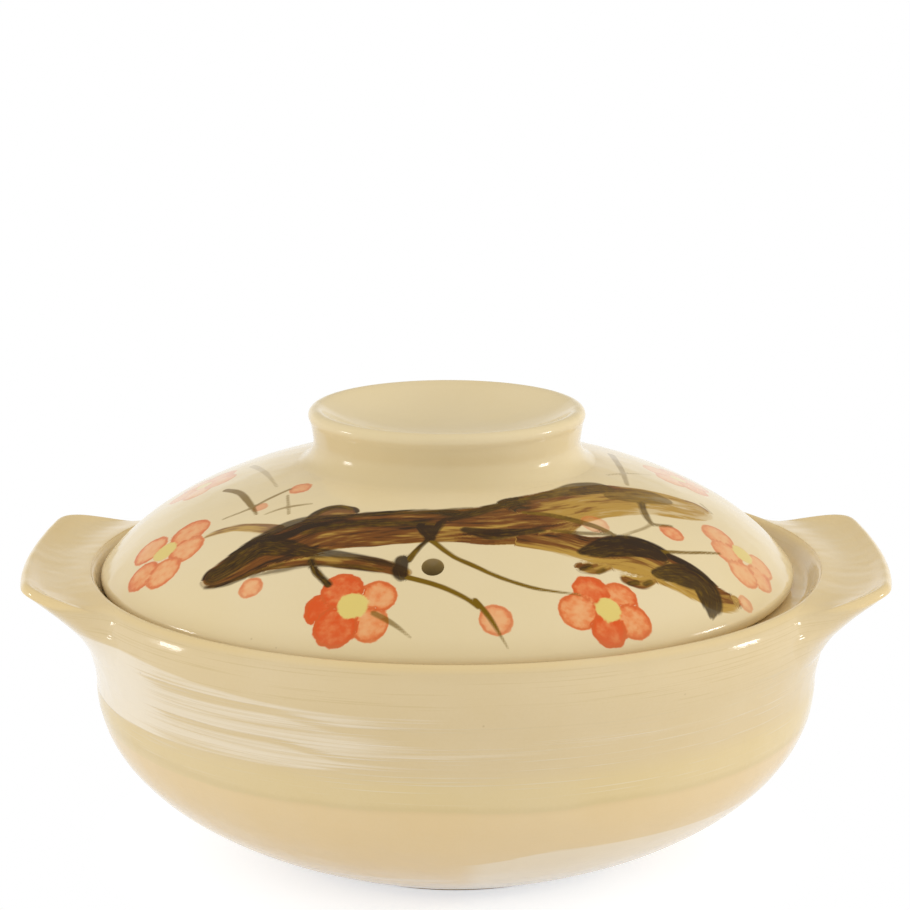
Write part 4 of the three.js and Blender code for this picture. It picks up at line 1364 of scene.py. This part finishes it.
class DONABE_OT_lid(bpy.types.Operator):
    """Turn the domed lid, bore its steam hole and lay the painting's fields on it"""

    bl_idname = "donabe.lid"
    bl_label = "Painted lid"

    def painting(self, places, dome):
        """Fields of the washes, ink and petals at each place."""
        fields = {}
        for layer, strokes in (("wash", WASHES), ("ink", INKS)):
            fields[layer], fields[layer + "_pigment"] = brush_layer(places, strokes, dome)
        fields["petal"], fields["petal_body"] = petal_layer(places, dome)
        return fields

    def execute(self, context):
        sizes = context.scene.donabe_sizes
        dome = dome_profile(sizes)
        under, profile, outer_rows = lid_profile(sizes, dome)
        turn = once_round(LID_COLUMNS)
        angles = turn - LID_FRONT_CROWDING * np.sin(turn) - np.pi / 2
        grid = turned(profile[1:-1], angles, sizes.unevenness / MM)
        stays, loops, tube = steam_hole(grid, angles, profile[1:-1, 0], outer_rows, (dome, under[::-1]),
                                        sizes.hole_diameter / MM / 2)
        index = numbered(grid)
        tube_index = numbered(tube, index.size)
        points = np.vstack((grid.reshape(-1, 3), tube.reshape(-1, 3), poles(profile)))
        faces = [quads(index)[stays], quads(np.vstack((loops[0], tube_index, loops[1]))),
                 *caps(index, len(points) - 2)]

        places = spread(points[:, :2], dome)
        places[index] *= np.maximum(run_of(profile)[1:-1] / run_of(dome)[-1], 1)[:, None, None]
        bare = np.ones(len(points), bool)
        bare[index[:outer_rows - BARE_ROWS]] = False
        bare[tube_index[:HOLE_PAINTED]] = False
        places[bare] = UNPAINTED
        fields = self.painting(places, dome)
        low, high = profile[outer_rows - 1, 1], dome[-1, 1]
        height = points[:, 2]
        fields["edge"] = smoothstep(height, low, high) - smoothstep(height, high, high + LID_EDGE_TINT)
        # Painted shade down the steam hole's bore.
        fields["bore_shade"] = np.zeros(len(points))
        fields["bore_shade"][tube_index[HOLE_SHADED_ROWS]] = 1.0
        points[:, 0] += sizes.lid_shift / MM
        material = finish("lid_glaze_painted", lid_glaze)
        make_piece("painted_lid", (points, faces), material, "lid", "lid_shell", fields)
        return {"FINISHED"}


class DONABE_OT_ring_grip(bpy.types.Operator):
    """Turn the ring grip: a foot that flares onto the dome, a neck, a rolled lip and a shallow dish"""

    bl_idname = "donabe.ring_grip"
    bl_label = "Ring grip"

    def execute(self, context):
        sizes = context.scene.donabe_sizes
        neck = sizes.grip_radius / MM - GRIP_FLARE
        outer = neck + GRIP_BASE_FLARE
        top = sizes.grip_top / MM
        points, faces = lathe(grip_profile(sizes, neck, outer), GRIP_COLUMNS, sizes.unevenness / MM)
        away = np.hypot(points[:, 0], points[:, 1])
        # Painted shade round the neck, carried in the edge field and gone on the right.
        thin = GRIP_NECK_SHADE * smoothstep(away, *np.add(neck, GRIP_SHADE_INSIDE))
        thin *= 1 - smoothstep(away, *np.add(outer, GRIP_SHADE_OUTSIDE))
        thin *= 1 - smoothstep(points[:, 0], *np.multiply(neck, GRIP_SHADE_RIGHT))
        thin *= 1 - smoothstep(points[:, 2], *np.add(top, GRIP_SHADE_ABOVE))
        unpainted = np.tile(NO_STROKE, (len(points), 1))
        fields = {"edge": smoothstep(points[:, 2], top - GRIP_EDGE, top) + thin, "wash": unpainted,
                  "ink": unpainted, "petal": np.tile(NO_PETAL, (len(points), 1))}
        points[:, 0] += sizes.lid_shift / MM
        material = finish("lid_glaze_painted", lid_glaze)
        make_piece("glazed_ring_grip", (points, faces), material, "lid", "lid_ring_grip", fields)
        return {"FINISHED"}


class DONABE_OT_stage(bpy.types.Operator):
    """Set out the pale floor, the soft lights at both sides and the camera"""

    bl_idname = "donabe.stage"
    bl_label = "Stage"

    def floor(self, colours):
        """A square floor that keeps the pot's shadow and fades to plain white away from it."""
        corners = FLOOR_HALF * np.array(((-1, -1, 0), (1, -1, 0), (1, 1, 0), (-1, 1, 0)))
        mesh = bpy.data.meshes.new("studio_floor")
        mesh.from_pydata(corners.tolist(), [], [(0, 1, 2, 3)])
        floor = put("studio_floor", mesh)
        material, wires = new_material("studio_floor_white")
        x, y, _ = wires.split(wires.place())
        plain = wires.step(wires.away(x, y), *FLOOR_FADE)
        direct = wires.direct()
        matt = wires.add("BsdfDiffuse", {"Color": colours.floor})
        lift = wires.add("Emission", {"Color": FLOOR_TINT, "Strength": wires.product(direct, FLOOR_LIFT)})
        both = wires.add("AddShader", {0: matt.outputs[0], 1: lift.outputs[0]})
        white = wires.add("Emission", {"Color": WHITE, "Strength": 1.0})
        share = wires.product(plain, direct)
        wires.surface(wires.add("MixShader", {0: share, 1: both.outputs[0], 2: white.outputs[0]}))
        mesh.materials.append(material)

    def world(self):
        """A pale sky, even for soft light. Seen directly it is white low down and dimmer overhead."""
        world = bpy.data.worlds.new("studio_sky")
        world.use_nodes = True
        wires = Wiring(world.node_tree)
        height = wires.split(wires.add("TexCoord").outputs["Generated"])[2]
        dim = wires.product(wires.step(height, *SKY_DIM_FROM), SKY_DIM)
        change = wires.product(wires.direct(), wires.less(1.0 - SKY_LEVEL, dim))
        sky = wires.add("Background", {"Color": WHITE, "Strength": wires.total(SKY_LEVEL, change)})
        wires.surface(sky, "OutputWorld")
        bpy.context.scene.world = world

    def soft_light(self, name, azimuth, power):
        """A square light that looks at the pot from an azimuth to the camera's right, in degrees."""
        lamp = bpy.data.lights.new(name, "AREA")
        lamp.shape = "SQUARE"
        lamp.size = LIGHT_SIDE
        lamp.energy = power
        turn, lift = math.radians(azimuth), math.radians(LIGHT_ELEVATION)
        level = math.cos(lift)
        towards = Vector((math.sin(turn) * level, -math.cos(turn) * level, math.sin(lift)))
        light = put(name, lamp)
        light.location = towards * LIGHT_DISTANCE + LIGHT_AIM
        light.rotation_euler = towards.to_track_quat("Z", "Y").to_euler()

    def execute(self, context):
        scene = context.scene
        scene.view_settings.view_transform = "Standard"
        self.floor(scene.donabe_colours)
        self.world()
        for name, azimuth, power in SOFTBOXES:
            self.soft_light(name, azimuth, power)
        lens = bpy.data.cameras.new("studio_camera")
        lens.lens, lens.sensor_width = CAMERA_LENS, CAMERA_SENSOR
        scene.camera = put("studio_camera", lens)
        scene.camera.location = CAMERA_PLACE
        scene.camera.rotation_euler = (math.radians(CAMERA_TILT), 0.0, 0.0)
        return {"FINISHED"}


class DONABE_PT_sidebar(bpy.types.Panel):
    """Sizes, colours and building steps of the donabe"""

    bl_idname = "DONABE_PT_sidebar"
    bl_label = "Donabe clay pot"
    bl_space_type = "VIEW_3D"
    bl_region_type = "UI"
    bl_category = "Donabe"

    def draw(self, context):
        scene = context.scene
        for group in (scene.donabe_sizes, scene.donabe_colours):
            box = self.layout.box()
            for key in group.__annotations__:
                box.prop(group, key)
        for step in STEPS:
            self.layout.operator(step.bl_idname)


STEPS = (DONABE_OT_stage, DONABE_OT_bowl, DONABE_OT_foot_ring, DONABE_OT_lugs, DONABE_OT_lid,
         DONABE_OT_ring_grip)
CLASSES = (DonabeSizes, DonabeColours, *STEPS, DONABE_PT_sidebar)


def register():
    for each in CLASSES:
        bpy.utils.register_class(each)
    bpy.types.Scene.donabe_sizes = PointerProperty(type=DonabeSizes)
    bpy.types.Scene.donabe_colours = PointerProperty(type=DonabeColours)


def unregister():
    del bpy.types.Scene.donabe_colours
    del bpy.types.Scene.donabe_sizes
    for each in reversed(CLASSES):
        bpy.utils.unregister_class(each)


def main():
    """Registers the classes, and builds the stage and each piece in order."""
    register()
    bpy.ops.donabe.stage()
    bpy.ops.donabe.bowl()
    bpy.ops.donabe.foot_ring()
    bpy.ops.donabe.lugs()
    bpy.ops.donabe.lid()
    bpy.ops.donabe.ring_grip()


if __name__ == "__main__":
    main()
